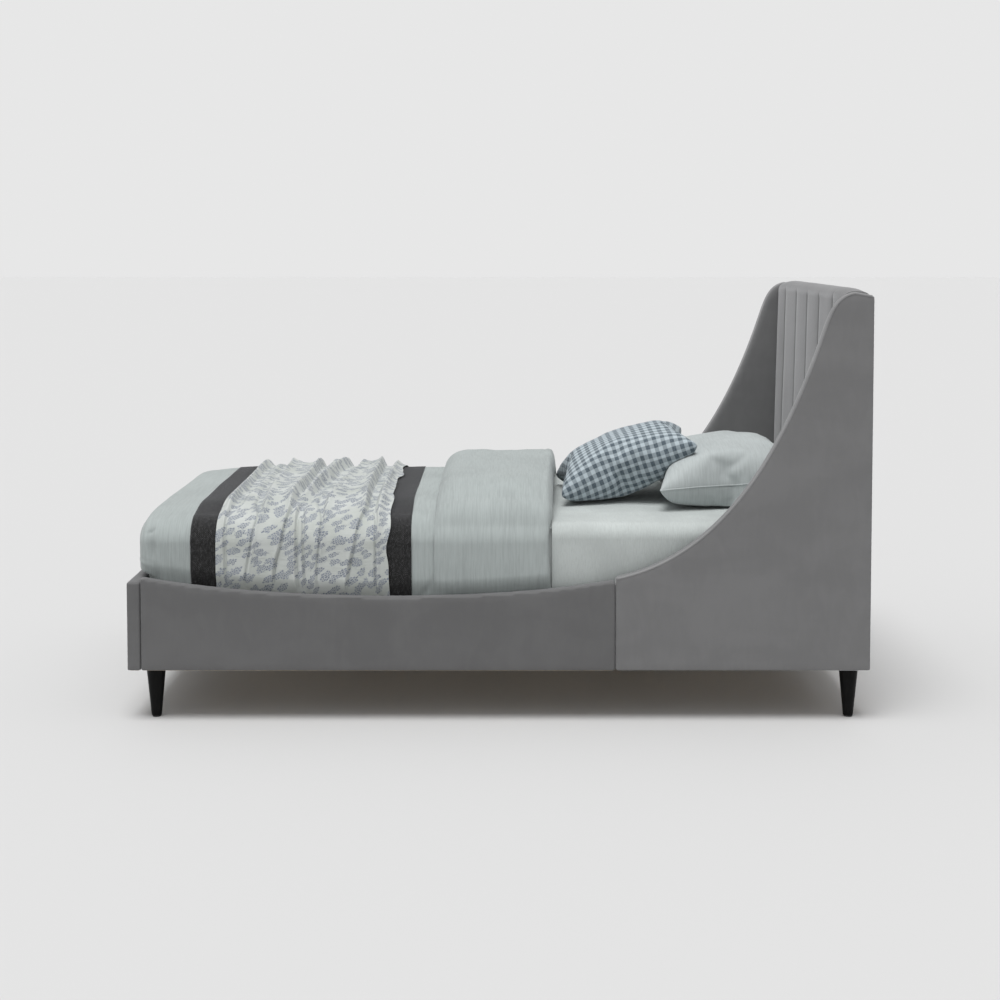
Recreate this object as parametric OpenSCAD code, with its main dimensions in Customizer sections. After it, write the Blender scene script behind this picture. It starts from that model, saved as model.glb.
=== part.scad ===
// Upholstered sleigh bed with swept wings, a channelled headboard and its made-up bedding.
// Length runs along X with the head at +X, width along Y, and Z = 0 is the floor.

/* [Bed] */
// Overall length from the footboard's outer face to the headboard's back
bed_l = 2060; // [2040:10:2120]
// Overall width over both side rails
bed_w = 1100; // [1100:10:1160]
// Overall height to the crown of the headboard
bed_h = 1200; // [1160:10:1240]
// Clear height of the legs under the frame
leg_h = 140; // [120:5:160]

/* [Mattress] */
// Length of the mattress
mattress_l = 1905; // [1895:1:1908]
// Width of the mattress
mattress_w = 990; // [980:1:992]
// Height of the mattress
mattress_h = 238; // [220:1:245]

/* [Upholstered frame] */
// Finished thickness of rails, wings and footboard
side_t = 38; // [36:1:40]
// Thickness of the foam and velvet on a board's face
pad_t = 8; // [6:1:9]
// Height of the footboard's top edge
foot_top = 388; // [380:1:395]
// Open joint between a side rail and its wing
split_gap = 4; // [2:1:6]
// Diameter of the welt along each wing's front edge
welt_d = 7; // [5:0.5:7.5]

/* [Headboard] */
// Thickness of the channelled pad at a channel's crown
channel_t = 49; // [44:1:52]
// Depth of the valley between two channels
channel_valley = 10; // [6:1:14]

/* [Legs] */
// Diameter of a leg at its top
leg_top_d = 53; // [48:1:58]
// Diameter of a leg at its foot
leg_foot_d = 28; // [26:1:34]

/* [Slat base] */
// Number of slats
slat_count = 11; // [11:1:11]
// Width of a slat
slat_w = 95; // [70:1:110]
// Thickness of a slat
slat_t = 18; // [16:1:20]
// Height of the slats' top face above the floor
slat_top = 300; // [295:1:305]

/* [Hidden] */
$fn = 48;
// Gap between neighbours, and how far a cutting solid runs past what it cuts
clear = 0.3;
past = 1;
half_l = bed_l / 2;
half_w = bed_w / 2;
in_y = half_w - side_t;
core_out_y = half_w - pad_t;
core_in_y = in_y + pad_t;
foot_in_x = -half_l + side_t;

// The wing's front edge is two cubic curves that meet at an inflection.
split_x = 324;
wing_x = split_x + split_gap / 2;
rail_x = split_x - split_gap / 2;
wing_low = [[wing_x, 400], [580, 453], [760, 684], [887, 1069]];
wing_high = [[887, 1069], [911, 1142], [925, 1180], [975, 1190]];
wing_back_z = bed_h - 20;
rail_curve = [[foot_in_x, 399], [-603, 328], [0, 331], [rail_x, 391]];
curve_steps = 14;

// Headboard layers, from the back towards the mattress
back_t = 4;
stile_t = 28;
stile_w = 70;
panel_t = 9;
frame_back_x = half_l - back_t;
frame_front_x = frame_back_x - stile_t;
panel_front_x = frame_front_x - panel_t;
channel_front_x = panel_front_x - channel_t;
channel_bottom_z = slat_top + 6;
// Seams across the headboard: wide channels in the middle and a narrow one beside each wing
channel_seams = [-in_y, -375, -180, 0, 180, 375, in_y];
channel_steps = 12;
top_pad_z = bed_h - 40;
low_rail_h = 80;

// Slat base
ledger_w = 30;
ledger_h = 30;
ledger_gap = 2;
slat_bottom = slat_top - slat_t;
ledger_bottom = slat_bottom - ledger_h;
slat_first_x = -930;
slat_last_x = 870;
slat_half_y = in_y - 4;
beam_w = 44;
beam_h = 60;
beam_bottom = slat_bottom - beam_h;
strap_y = 250;
strap_w = 38;
strap_t = 1.5;
hanger_t = 2.5;
hanger_l = 45;
center_leg_x = [-420, 420];
center_leg_d = 40;

// Legs and corner blocks
front_leg_x = -960;
rear_leg_x = 979;
leg_y = half_w - 50;
glide_h = 4;
plate_t = 3;
plate_w = 62;
block_l = 75;
block_w = 60;
block_h = 96;
bolt_r = 4;
bolt_hole_r = 4.15;
bolt_head_r = 7.6;
bolt_head_h = 4;
leg_bolt_low = 90;
leg_bolt_high = leg_h + 60;

// Joint plates that tie a rail to its wing
joint_plate_l = 140;
joint_plate_h = 80;
joint_plate_t = 4;
joint_plate_z = leg_h + 22;
joint_bolt_x = [-50, -25, 25, 50];
joint_bolt_depth = joint_plate_t + pad_t + 18;

// Mattress and bedding shells: each layer starts a little outside the one before
mattress_x0 = foot_in_x + 11;
mattress_z0 = slat_top + strap_t + clear;
mattress_top = mattress_z0 + mattress_h;
mattress_r = 38;
sheet_t = 2;
sheet_off = sheet_t + clear;
duvet_side = 6;
duvet_puff = 40;
duvet_head_x = 180;
throw_t = 1.6;
charcoal_x = [-862, -245];
floral_x = [-792, -300];
floral_puff = 12;
fold_x = [-180, 168];
fold_puff = 50;
skirt_z = slat_top + 30;
sheet_hem_z = slat_top + 12;

// The duvet's foot end swells out over the footboard
swell_x = -half_l + 18;
swell_z = foot_top + 14;
swell_wall = 60;

// Pillows: the rolls that fill them as [x, z, radius], and their corners as [x, z]
plain_rolls = [[596, 636, 90], [846, 640, 76]];
plain_corners = [[486, 600], [916, 668]];
plain_roll_l = 330;
plain_corner_y = 298;
gingham_rolls = [[252, 624, 74], [470, 690, 78]];
gingham_corners = [[200, 590], [588, 722]];
gingham_roll_l = 210;
gingham_corner_y = 200;
pillow_corner_r = 12;
pillow_gap = 2;

// A point on a cubic curve, and the direction of travel there
function curve_point(p, t) =
    pow(1 - t, 3) * p[0] + 3 * pow(1 - t, 2) * t * p[1] + 3 * (1 - t) * t * t * p[2] + pow(t, 3) * p[3];
function curve_way(p, t) =
    pow(1 - t, 2) * (p[1] - p[0]) + 2 * (1 - t) * t * (p[2] - p[1]) + t * t * (p[3] - p[2]);

// The same point moved inwards by d, square to the curve
function inset_point(p, t, d) =
    let (way = curve_way(p, t))
    curve_point(p, t) + d * [way[1], -way[0]] / norm(way);
function inset_curve(p, d, first) =
    [for (i = [first : curve_steps]) inset_point(p, i / curve_steps, d)];

// Outline of a wing, inset by d along its swept edge and by e at its back, bottom and joint
function wing_outline(d, e) = concat(
    [[wing_x + e, leg_h + e], [wing_x + e, wing_low[0][1] - d]],
    inset_curve(wing_low, d, 1),
    inset_curve(wing_high, d, 1),
    [[half_l - e, wing_back_z - d], [half_l - e, leg_h + e]]
);

// Outline of a side rail, inset by d along its dished top and by e at both ends
function rail_outline(d, e) = concat(
    [[foot_in_x + e, leg_h]],
    [for (i = [0 : curve_steps]) curve_point(rail_curve, i / curve_steps) + [e * (1 - 2 * i / curve_steps), -d]],
    [[rail_x - e, leg_h]]
);

// An outline in X and Z, made solid from y0 to y1
module slab_xz(outline, y0, y1) {
    translate([0, y1, 0])
        rotate([90, 0, 0])
            linear_extrude(height = y1 - y0)
                polygon(outline);
}

module block(x0, x1, y0, y1, z0, z1) {
    translate([x0, y0, z0])
        cube([x1 - x0, y1 - y0, z1 - z0]);
}

// Draws its children on the left side (+Y), or mirrored to the right side (-Y)
module on_side(side) {
    if (side == "left") children();
    else mirror([0, 1, 0]) children();
}

// Draws its children at both sides
module both_sides() {
    children();
    mirror([0, 1, 0]) children();
}

module at_corner_legs() {
    for (x = [front_leg_x, rear_leg_x])
        for (y = [-leg_y, leg_y])
            translate([x, y, 0]) children();
}

module joint_bolt_holes() {
    for (x = joint_bolt_x)
        translate([split_x + x, in_y - joint_plate_t - past, joint_plate_z + joint_plate_h / 2])
            rotate([-90, 0, 0])
                cylinder(h = joint_bolt_depth + 2 * past, r = bolt_hole_r);
}

// Headboard

module headboard_panel() {
    color("burlywood")
        block(panel_front_x, frame_front_x, -in_y, in_y, leg_h, top_pad_z);
}

module headboard_stile(side) {
    color("tan")
        on_side(side)
            block(frame_front_x, frame_back_x, in_y - stile_w, in_y, leg_h, top_pad_z);
}

module headboard_crosspiece(z0, z1) {
    color("tan")
        block(frame_front_x, frame_back_x, -in_y + stile_w, in_y - stile_w, z0, z1);
}

// Half-round crowns side by side, with a sewn valley between each pair
module headboard_channel_pad() {
    valley_x = channel_front_x + channel_valley;
    crowns = [
        for (k = [1 : len(channel_seams) - 1], i = [0 : channel_steps - 1])
            let (
                u = i / channel_steps,
                y = channel_seams[k - 1] + u * (channel_seams[k] - channel_seams[k - 1])
            )
            [valley_x - channel_valley * pow(sin(180 * u), 0.6), -y]
    ];
    color("dimgray")
        translate([0, 0, channel_bottom_z])
            linear_extrude(height = top_pad_z - channel_bottom_z)
                polygon(concat(crowns, [[valley_x, -in_y], [panel_front_x, -in_y], [panel_front_x, in_y]]));
}

module headboard_top_pad() {
    front = channel_front_x + channel_valley;
    peak = [half_l - 38, bed_h];
    roll_front = [[front, top_pad_z], [front, bed_h - 12], [peak[0] - 24, bed_h], peak];
    roll_back = [peak, [half_l - 14, bed_h], [half_l, bed_h - 6], [half_l, wing_back_z]];
    outline = concat(
        [for (i = [0 : curve_steps]) curve_point(roll_front, i / curve_steps)],
        [for (i = [1 : curve_steps]) curve_point(roll_back, i / curve_steps)],
        [[half_l, top_pad_z]]
    );
    color("dimgray")
        slab_xz(outline, -in_y, in_y);
}

module headboard_back_cover() {
    color("dimgray")
        block(frame_back_x, half_l, -in_y, in_y, leg_h, top_pad_z);
}

// Wings

module wing_core(side) {
    color("burlywood")
        on_side(side)
            difference() {
                slab_xz(wing_outline(pad_t, pad_t), core_in_y, core_out_y);
                joint_bolt_holes();
            }
}

// Outer face plus the band that wraps the board's edge; the face stops short to seat the welt
module wing_outer_pad(side) {
    color("dimgray")
        on_side(side) {
            slab_xz(wing_outline(pad_t - clear, 0), core_out_y, half_w);
            difference() {
                slab_xz(wing_outline(0, 0), core_in_y, core_out_y);
                slab_xz(wing_outline(pad_t, pad_t), core_in_y - past, core_out_y + past);
            }
        }
}

module wing_inner_pad(side) {
    color("dimgray")
        on_side(side)
            difference() {
                slab_xz(wing_outline(0, 0), in_y, core_in_y);
                joint_bolt_holes();
            }
}

// A round cord sewn along the swept edge, from the joint up to the back corner
module wing_welt(side) {
    r = welt_d / 2;
    sides = 8;
    seat = pad_t - clear - r - 0.2;
    route = concat(inset_curve(wing_low, seat, 0), inset_curve(wing_high, seat, 1));
    ways = concat(
        [for (i = [0 : curve_steps]) curve_way(wing_low, i / curve_steps)],
        [for (i = [1 : curve_steps]) curve_way(wing_high, i / curve_steps)]
    );
    rings = len(route);
    points = [
        for (i = [0 : rings - 1], k = [0 : sides - 1])
            let (out = r * [-ways[i][1], ways[i][0]] / norm(ways[i]), a = 360 * k / sides)
            [route[i][0] + out[0] * cos(a), half_w - r - clear + r * sin(a), route[i][1] + out[1] * cos(a)]
    ];
    walls = [
        for (i = [0 : rings - 2], k = [0 : sides - 1])
            let (n = (k + 1) % sides)
            [i * sides + k, (i + 1) * sides + k, (i + 1) * sides + n, i * sides + n]
    ];
    start = [for (k = [0 : sides - 1]) k];
    end = [for (k = [sides - 1 : -1 : 0]) (rings - 1) * sides + k];
    color("gray")
        on_side(side)
            polyhedron(points, concat([start], walls, [end]));
}

// Side rails

module side_rail_core(side) {
    color("burlywood")
        on_side(side)
            difference() {
                slab_xz(rail_outline(pad_t, pad_t), core_in_y, core_out_y);
                joint_bolt_holes();
            }
}

module side_rail_cover(side) {
    color("dimgray")
        on_side(side)
            difference() {
                slab_xz(rail_outline(0, 0), in_y, half_w);
                slab_xz(rail_outline(pad_t, pad_t), core_in_y, core_out_y);
                joint_bolt_holes();
            }
}

// Footboard

module footboard_core() {
    color("burlywood")
        block(
            -half_l + pad_t, foot_in_x - pad_t, -half_w + pad_t, half_w - pad_t,
            leg_h, foot_top - pad_t
        );
}

module footboard_cover() {
    color("dimgray")
        difference() {
            block(-half_l, foot_in_x, -half_w, half_w, leg_h, foot_top);
            block(
                -half_l + pad_t, foot_in_x - pad_t, -half_w + pad_t, half_w - pad_t,
                leg_h - past, foot_top - pad_t
            );
        }
}

// Legs

module corner_leg(x, side) {
    color("black")
        on_side(side)
            translate([x, leg_y, glide_h])
                difference() {
                    cylinder(h = leg_h - glide_h - plate_t, d1 = leg_foot_d, d2 = leg_top_d);
                    translate([0, 0, leg_bolt_low - glide_h])
                        cylinder(h = leg_h, r = bolt_hole_r);
                }
}

module leg_plates() {
    color("silver")
        at_corner_legs()
            difference() {
                block(-plate_w / 2, plate_w / 2, -plate_w / 2, plate_w / 2, leg_h - plate_t, leg_h);
                cylinder(h = leg_h + past, r = bolt_hole_r);
            }
}

module leg_bolts() {
    color("silver")
        at_corner_legs()
            translate([0, 0, leg_bolt_low])
                cylinder(h = leg_bolt_high - leg_bolt_low, r = bolt_r);
}

module leg_glides() {
    glide_r = leg_foot_d / 2 - 2;
    color("gray") {
        at_corner_legs()
            cylinder(h = glide_h, r = glide_r);
        for (x = center_leg_x)
            translate([x, 0, 0])
                cylinder(h = glide_h, r = glide_r);
    }
}

module corner_blocks() {
    color("burlywood")
        difference() {
            both_sides() {
                block(foot_in_x, foot_in_x + block_l, in_y - block_w, in_y, leg_h, leg_h + block_h);
                block(panel_front_x - block_l, panel_front_x, in_y - block_w, in_y, leg_h, leg_h + block_h);
            }
            at_corner_legs()
                cylinder(h = leg_bolt_high + past, r = bolt_hole_r);
        }
}

// Slat base

// One batten on the rail and one on the wing, in line
module side_ledger(side) {
    color("tan")
        on_side(side) {
            block(foot_in_x + ledger_w, rail_x - ledger_gap, in_y - ledger_w, in_y, ledger_bottom, slat_bottom);
            block(wing_x + ledger_gap, panel_front_x - ledger_w, in_y - ledger_w, in_y, ledger_bottom, slat_bottom);
        }
}

module head_ledger() {
    color("tan")
        block(panel_front_x - ledger_w, panel_front_x, -in_y, in_y, ledger_bottom, slat_bottom);
}

module foot_ledger() {
    color("tan")
        block(foot_in_x, foot_in_x + ledger_w, -in_y, in_y, ledger_bottom, slat_bottom);
}

module center_beam() {
    color("burlywood")
        block(
            foot_in_x + ledger_w + hanger_t, panel_front_x - ledger_w - hanger_t,
            -beam_w / 2, beam_w / 2, beam_bottom, slat_bottom
        );
}

// A pressed steel shoe: back plate, floor and two cheeks, open towards the beam
module beam_hanger() {
    out = beam_w / 2 + hanger_t;
    difference() {
        block(0, hanger_l, -out, out, beam_bottom - hanger_t, slat_bottom);
        block(hanger_t, hanger_l + past, -beam_w / 2, beam_w / 2, beam_bottom, slat_bottom + past);
    }
}

module beam_hangers() {
    color("silver") {
        translate([foot_in_x + ledger_w, 0, 0])
            beam_hanger();
        translate([panel_front_x - ledger_w, 0, 0])
            mirror([1, 0, 0])
                beam_hanger();
    }
}

module center_leg(x) {
    color("black")
        translate([x, 0, glide_h])
            cylinder(h = beam_bottom - glide_h, d1 = leg_foot_d, d2 = center_leg_d);
}

module joint_plates() {
    color("silver")
        both_sides()
            difference() {
                block(
                    split_x - joint_plate_l / 2, split_x + joint_plate_l / 2,
                    in_y - joint_plate_t, in_y, joint_plate_z, joint_plate_z + joint_plate_h
                );
                joint_bolt_holes();
            }
}

module joint_bolts() {
    color("silver")
        both_sides()
            for (x = joint_bolt_x)
                translate([split_x + x, in_y - joint_plate_t, joint_plate_z + joint_plate_h / 2])
                    rotate([-90, 0, 0]) {
                        cylinder(h = joint_bolt_depth, r = bolt_r);
                        translate([0, 0, -bolt_head_h])
                            cylinder(h = bolt_head_h, r = bolt_head_r);
                    }
}

module slat(number) {
    x = slat_first_x + (number - 1) * (slat_last_x - slat_first_x) / (slat_count - 1);
    color("wheat")
        block(x - slat_w / 2, x + slat_w / 2, -slat_half_y, slat_half_y, slat_bottom, slat_top);
}

module slat_straps() {
    color("white")
        both_sides()
            block(
                slat_first_x - slat_w / 2, slat_last_x + slat_w / 2,
                strap_y - strap_w / 2, strap_y + strap_w / 2, slat_top, slat_top + strap_t
            );
}

// Bedding

// The mattress's own form grown by side all round: upright round corners and a soft top edge
module soft_block(side, bottom, top) {
    r = mattress_r + side;
    x0 = mattress_x0 - side;
    x1 = mattress_x0 + mattress_l + side;
    hy = mattress_w / 2 + side;
    hull()
        for (x = [x0 + r, x1 - r], y = [-hy + r, hy - r]) {
            translate([x, y, bottom])
                cylinder(h = top - r - bottom, r = r, $fn = 32);
            translate([x, y, top - r])
                sphere(r = r, $fn = 32);
        }
}

// A layer of bedding over the one inside it, cut to the span x0 to x1
module layer(inner_side, inner_top, outer_side, outer_top, bottom, x0, x1) {
    intersection() {
        difference() {
            soft_block(outer_side, bottom, outer_top);
            soft_block(inner_side, bottom - past, inner_top);
        }
        block(x0, x1, -half_w, half_w, 0, bed_h);
    }
}

sheet_top = mattress_top + sheet_off;
duvet_in = sheet_off + clear;
duvet_out = duvet_in + duvet_side;
duvet_top = sheet_top + clear + duvet_puff;
charcoal_out = duvet_out + clear + throw_t;
charcoal_top = duvet_top + clear + throw_t;

module mattress() {
    color("white")
        soft_block(0, mattress_z0, mattress_top);
}

module fitted_sheet() {
    color("gainsboro")
        layer(clear, mattress_top + clear, sheet_off, sheet_top, sheet_hem_z, -half_l, half_l);
}

// The foot end swells out over the footboard once it is clear of it
module duvet() {
    swell_r = mattress_r + duvet_out;
    hy = mattress_w / 2 + duvet_out;
    color("lightgray")
        intersection() {
            difference() {
                union() {
                    soft_block(duvet_out, skirt_z, duvet_top);
                    hull()
                        for (x = [swell_x + swell_r, swell_x + 3 * swell_r], y = [-hy + swell_r, hy - swell_r])
                            translate([x, y, swell_z]) {
                                cylinder(h = swell_wall, r = swell_r, $fn = 32);
                                translate([0, 0, duvet_top - swell_z - swell_r])
                                    sphere(r = swell_r, $fn = 32);
                            }
                }
                soft_block(duvet_in, 0, sheet_top + clear);
            }
            block(-half_l, duvet_head_x, -half_w, half_w, 0, bed_h);
        }
}

module duvet_fold() {
    color("lightgray")
        layer(
            duvet_out + clear, duvet_top + clear, duvet_out + clear + duvet_side,
            duvet_top + clear + fold_puff, skirt_z, fold_x[0], fold_x[1]
        );
}

module charcoal_throw() {
    color("#333333")
        layer(
            duvet_out + clear, duvet_top + clear, charcoal_out, charcoal_top,
            skirt_z, charcoal_x[0], charcoal_x[1]
        );
}

module floral_throw() {
    color("whitesmoke")
        layer(
            charcoal_out + clear, charcoal_top + clear, charcoal_out + clear + throw_t,
            charcoal_top + clear + floral_puff, skirt_z, floral_x[0], floral_x[1]
        );
}

// A stuffed form: two rolls fill its middle, and four small corners stand out from it
module pillow_form(rolls, roll_l, corners, corner_y) {
    hull() {
        for (roll = rolls)
            translate([roll[0], roll_l / 2, roll[1]])
                rotate([90, 0, 0])
                    cylinder(h = roll_l, r = roll[2], $fn = 40);
        for (corner = corners, y = [-corner_y, corner_y])
            translate([corner[0], y, corner[1]])
                sphere(r = pillow_corner_r, $fn = 24);
    }
}

module plain_form() {
    pillow_form(plain_rolls, plain_roll_l, plain_corners, plain_corner_y);
}

module pillow_plain() {
    color("gainsboro")
        difference() {
            plain_form();
            block(0, half_l, -half_w, half_w, 0, sheet_top + clear);
        }
}

module pillow_gingham() {
    color("lightsteelblue")
        difference() {
            pillow_form(gingham_rolls, gingham_roll_l, gingham_corners, gingham_corner_y);
            block(0, half_l, -half_w, half_w, 0, sheet_top + clear);
            translate([-pillow_gap, 0, pillow_gap]) plain_form();
        }
}

headboard_panel();
headboard_stile("left");  // headboard_stile_left
headboard_stile("right");  // headboard_stile_right
headboard_crosspiece(top_pad_z - stile_w, top_pad_z);  // headboard_rail_top
headboard_crosspiece(slat_top - low_rail_h, slat_top);  // headboard_rail_bottom
headboard_channel_pad();
headboard_top_pad();
headboard_back_cover();
wing_core("left");  // wing_core_left
wing_core("right");  // wing_core_right
wing_outer_pad("left");  // wing_outer_pad_left
wing_outer_pad("right");  // wing_outer_pad_right
wing_inner_pad("left");  // wing_inner_pad_left
wing_inner_pad("right");  // wing_inner_pad_right
wing_welt("left");  // wing_welt_left
wing_welt("right");  // wing_welt_right
side_rail_core("left");  // side_rail_core_left
side_rail_core("right");  // side_rail_core_right
side_rail_cover("left");  // side_rail_cover_left
side_rail_cover("right");  // side_rail_cover_right
footboard_core();
footboard_cover();
corner_leg(front_leg_x, "left");  // leg_front_left
corner_leg(front_leg_x, "right");  // leg_front_right
corner_leg(rear_leg_x, "left");  // leg_rear_left
corner_leg(rear_leg_x, "right");  // leg_rear_right
leg_plates();
leg_bolts();
leg_glides();
corner_blocks();
side_ledger("left");  // side_ledger_left
side_ledger("right");  // side_ledger_right
head_ledger();
foot_ledger();
center_beam();
beam_hangers();
center_leg(center_leg_x[0]);  // center_leg_foot
center_leg(center_leg_x[1]);  // center_leg_head
joint_plates();
joint_bolts();
slat(1);  // slat_01
slat(2);  // slat_02
slat(3);  // slat_03
slat(4);  // slat_04
slat(5);  // slat_05
slat(6);  // slat_06
slat(7);  // slat_07
slat(8);  // slat_08
slat(9);  // slat_09
slat(10);  // slat_10
slat(11);  // slat_11
slat_straps();
mattress();
fitted_sheet();
duvet();
duvet_fold();
charcoal_throw();
floral_throw();
pillow_plain();
pillow_gingham();
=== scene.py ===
"""Looks of the upholstered sleigh bed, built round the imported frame. Metres, Z up, head of the bed at +X."""

import math

import bpy
import numpy as np
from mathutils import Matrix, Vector
from mathutils.bvhtree import BVHTree


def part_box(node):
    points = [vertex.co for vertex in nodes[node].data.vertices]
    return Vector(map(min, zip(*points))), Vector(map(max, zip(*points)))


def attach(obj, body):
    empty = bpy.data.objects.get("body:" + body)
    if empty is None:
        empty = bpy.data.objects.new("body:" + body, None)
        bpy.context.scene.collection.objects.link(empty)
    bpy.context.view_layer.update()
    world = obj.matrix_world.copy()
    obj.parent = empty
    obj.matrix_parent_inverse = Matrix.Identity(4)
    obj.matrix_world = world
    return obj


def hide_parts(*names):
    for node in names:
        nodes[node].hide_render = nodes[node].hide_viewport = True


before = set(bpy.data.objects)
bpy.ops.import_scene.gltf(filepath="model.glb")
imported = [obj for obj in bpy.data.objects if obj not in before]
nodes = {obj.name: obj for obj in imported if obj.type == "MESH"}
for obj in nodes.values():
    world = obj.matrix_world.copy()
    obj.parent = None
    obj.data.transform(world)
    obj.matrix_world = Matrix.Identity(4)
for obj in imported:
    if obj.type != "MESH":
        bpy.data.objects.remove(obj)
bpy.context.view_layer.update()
scene = bpy.context.scene

# ---------------------------------------------------------------- places, from the frame

rail_low, rail_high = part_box("side_rail_cover_left")
wing_low, wing_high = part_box("wing_inner_pad_left")
foot_low, foot_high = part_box("footboard_cover")
channel_low, channel_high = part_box("headboard_channel_pad")
top_pad_low, top_pad_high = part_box("headboard_top_pad")
back_low, back_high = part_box("headboard_back_cover")
mattress_low, mattress_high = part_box("mattress")
sheet_low, sheet_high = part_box("fitted_sheet")
duvet_low, duvet_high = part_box("duvet")
fold_low, fold_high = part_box("duvet_fold")
charcoal_low, charcoal_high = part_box("charcoal_throw")
floral_low, floral_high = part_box("floral_throw")

OUTER_Y = rail_high[1]
INNER_Y = rail_low[1]
FRAME_BOTTOM = rail_low[2]
HEAD_TOP = top_pad_high[2]
BACK_X = back_high[0]


# ---------------------------------------------------------------- numbers and noise


def smooth_step(low, high, x):
    """0 below low, 1 above high, and a smooth rise between them."""
    t = np.clip((np.asarray(x, float) - low) / (high - low), 0, 1)
    return t * t * (3 - 2 * t)


def wobble(points, size, seed):
    """Smooth value noise from -1 to 1 at points. size is its wavelength in metres, or one for each axis."""
    cells = 32
    lattice = np.random.default_rng(seed).uniform(-1, 1, (cells, cells, cells))
    p = np.asarray(points, float) / np.asarray(size, float)
    base = np.floor(p).astype(int)
    f = p - base
    f = f * f * f * (f * (6 * f - 15) + 10)
    total = 0
    for corner in np.ndindex(2, 2, 2):
        i, j, k = ((base[..., a] + corner[a]) % cells for a in range(3))
        weight = 1
        for a in range(3):
            weight = weight * (f[..., a] if corner[a] else 1 - f[..., a])
        total = total + weight * lattice[i, j, k]
    return total


def curve_points(control, count):
    """Points along a cubic curve of four control points."""
    t = np.linspace(0, 1, count)[:, None]
    a, b, c, d = (np.array(p, float) for p in control)
    return (1 - t) ** 3 * a + 3 * (1 - t) ** 2 * t * b + 3 * (1 - t) * t**2 * c + t**3 * d


# ---------------------------------------------------------------- meshes


def make_object(name, points, faces, material, body, smooth=True):
    """A mesh object with its material, riding on its CAD body."""
    mesh = bpy.data.meshes.new(name)
    mesh.from_pydata([tuple(p) for p in np.asarray(points, float)], [], faces)
    mesh.validate()
    mesh.update()
    if smooth:
        mesh.shade_smooth()
    piece = bpy.data.objects.new(name, mesh)
    scene.collection.objects.link(piece)
    if material:
        mesh.materials.append(material)
    if body:
        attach(piece, body)
    return piece


def mesh_points(piece):
    """The piece's vertices as an array."""
    flat = np.empty(len(piece.data.vertices) * 3)
    piece.data.vertices.foreach_get("co", flat)
    return flat.reshape(-1, 3)


def set_points(piece, points):
    piece.data.vertices.foreach_set("co", np.ascontiguousarray(points, float).ravel())
    piece.data.update()


def mesh_normals(piece):
    flat = np.empty(len(piece.data.vertices) * 3)
    piece.data.vertices.foreach_get("normal", flat)
    return flat.reshape(-1, 3)


def apply_modifiers(piece):
    """Bakes the piece's modifiers into its mesh."""
    depsgraph = bpy.context.evaluated_depsgraph_get()
    evaluated = piece.evaluated_get(depsgraph)
    mesh = bpy.data.meshes.new_from_object(evaluated)
    piece.modifiers.clear()
    piece.data = mesh
    mesh.shade_smooth()


def relax(piece, steps, factor=0.5):
    """Evens the surface by averaging each vertex with its neighbours."""
    smoothing = piece.modifiers.new("relax", "SMOOTH")
    smoothing.factor = factor
    smoothing.iterations = steps
    apply_modifiers(piece)


def remesh(piece, voxel, steps):
    """An even mesh of small quads with softened edges."""
    cells = piece.modifiers.new("voxels", "REMESH")
    cells.mode = "VOXEL"
    cells.voxel_size = voxel
    apply_modifiers(piece)
    relax(piece, steps)


def grid_faces(rows, columns, ring=False):
    """Quads of a grid of points in row order. In a ring, the last column joins the first."""
    last = columns if ring else columns - 1
    return [
        (
            r * columns + c,
            r * columns + (c + 1) % columns,
            (r + 1) * columns + (c + 1) % columns,
            (r + 1) * columns + c,
        )
        for r in range(rows - 1)
        for c in range(last)
    ]


def capped_faces(rows, columns):
    """Quads of a stack of closed loops of points, with a face across each end."""
    ends = [tuple(range(columns))[::-1], tuple((rows - 1) * columns + k for k in range(columns))]
    return grid_faces(rows, columns, ring=True) + ends


def closed_shell(name, outer, inner, material, body):
    """A closed piece from two matching grids, an outer and an inner skin, with its rim closed."""
    rows, columns = outer.shape[:2]
    count = rows * columns
    faces = grid_faces(rows, columns)
    inside = [tuple(i + count for i in face[::-1]) for face in faces]
    rim = list(range(columns))
    rim += [r * columns + columns - 1 for r in range(1, rows)]
    rim += [(rows - 1) * columns + c for c in range(columns - 2, -1, -1)]
    rim += [r * columns for r in range(rows - 2, 0, -1)]
    edge = [(rim[i - 1], rim[i - 1] + count, rim[i] + count, rim[i]) for i in range(len(rim))]
    points = np.concatenate([outer.reshape(-1, 3), inner.reshape(-1, 3)])
    return make_object(name, points, faces + inside + edge, material, body)


def run_along(path):
    """The distance from a path's start to each of its points."""
    return np.concatenate([[0], np.cumsum(np.linalg.norm(np.diff(path, axis=0), axis=1))])


def tube(name, path, radius, material, body, sides=10, ripple=0.0, pitch=0.006):
    """A round cord along a path, with closed ends and a slight ripple where cloth gathers round it."""
    path = np.asarray(path, float)
    way = np.gradient(path, axis=0)
    way /= np.linalg.norm(way, axis=1)[:, None]
    side = np.cross(way, [0.0, 1.0, 0.0])
    short = np.linalg.norm(side, axis=1) < 0.3
    side[short] = np.cross(way[short], [0.0, 0.0, 1.0])
    side /= np.linalg.norm(side, axis=1)[:, None]
    up = np.cross(way, side)
    run = run_along(path)
    rings = []
    for i, p in enumerate(path):
        r = radius + ripple * math.sin(2 * math.pi * run[i] / pitch)
        turn = [2 * math.pi * k / sides for k in range(sides)]
        rings += [p + r * (math.cos(a) * side[i] + math.sin(a) * up[i]) for a in turn]
    return make_object(name, rings, capped_faces(len(path), sides), material, body)


def resample(path, step):
    """The same path with points at an even spacing."""
    path = np.asarray(path, float)
    run = run_along(path)
    even = np.linspace(0, run[-1], max(2, int(run[-1] / step)))
    return np.stack([np.interp(even, run, path[:, a]) for a in range(path.shape[1])], axis=1)


# ---------------------------------------------------------------- materials


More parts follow.
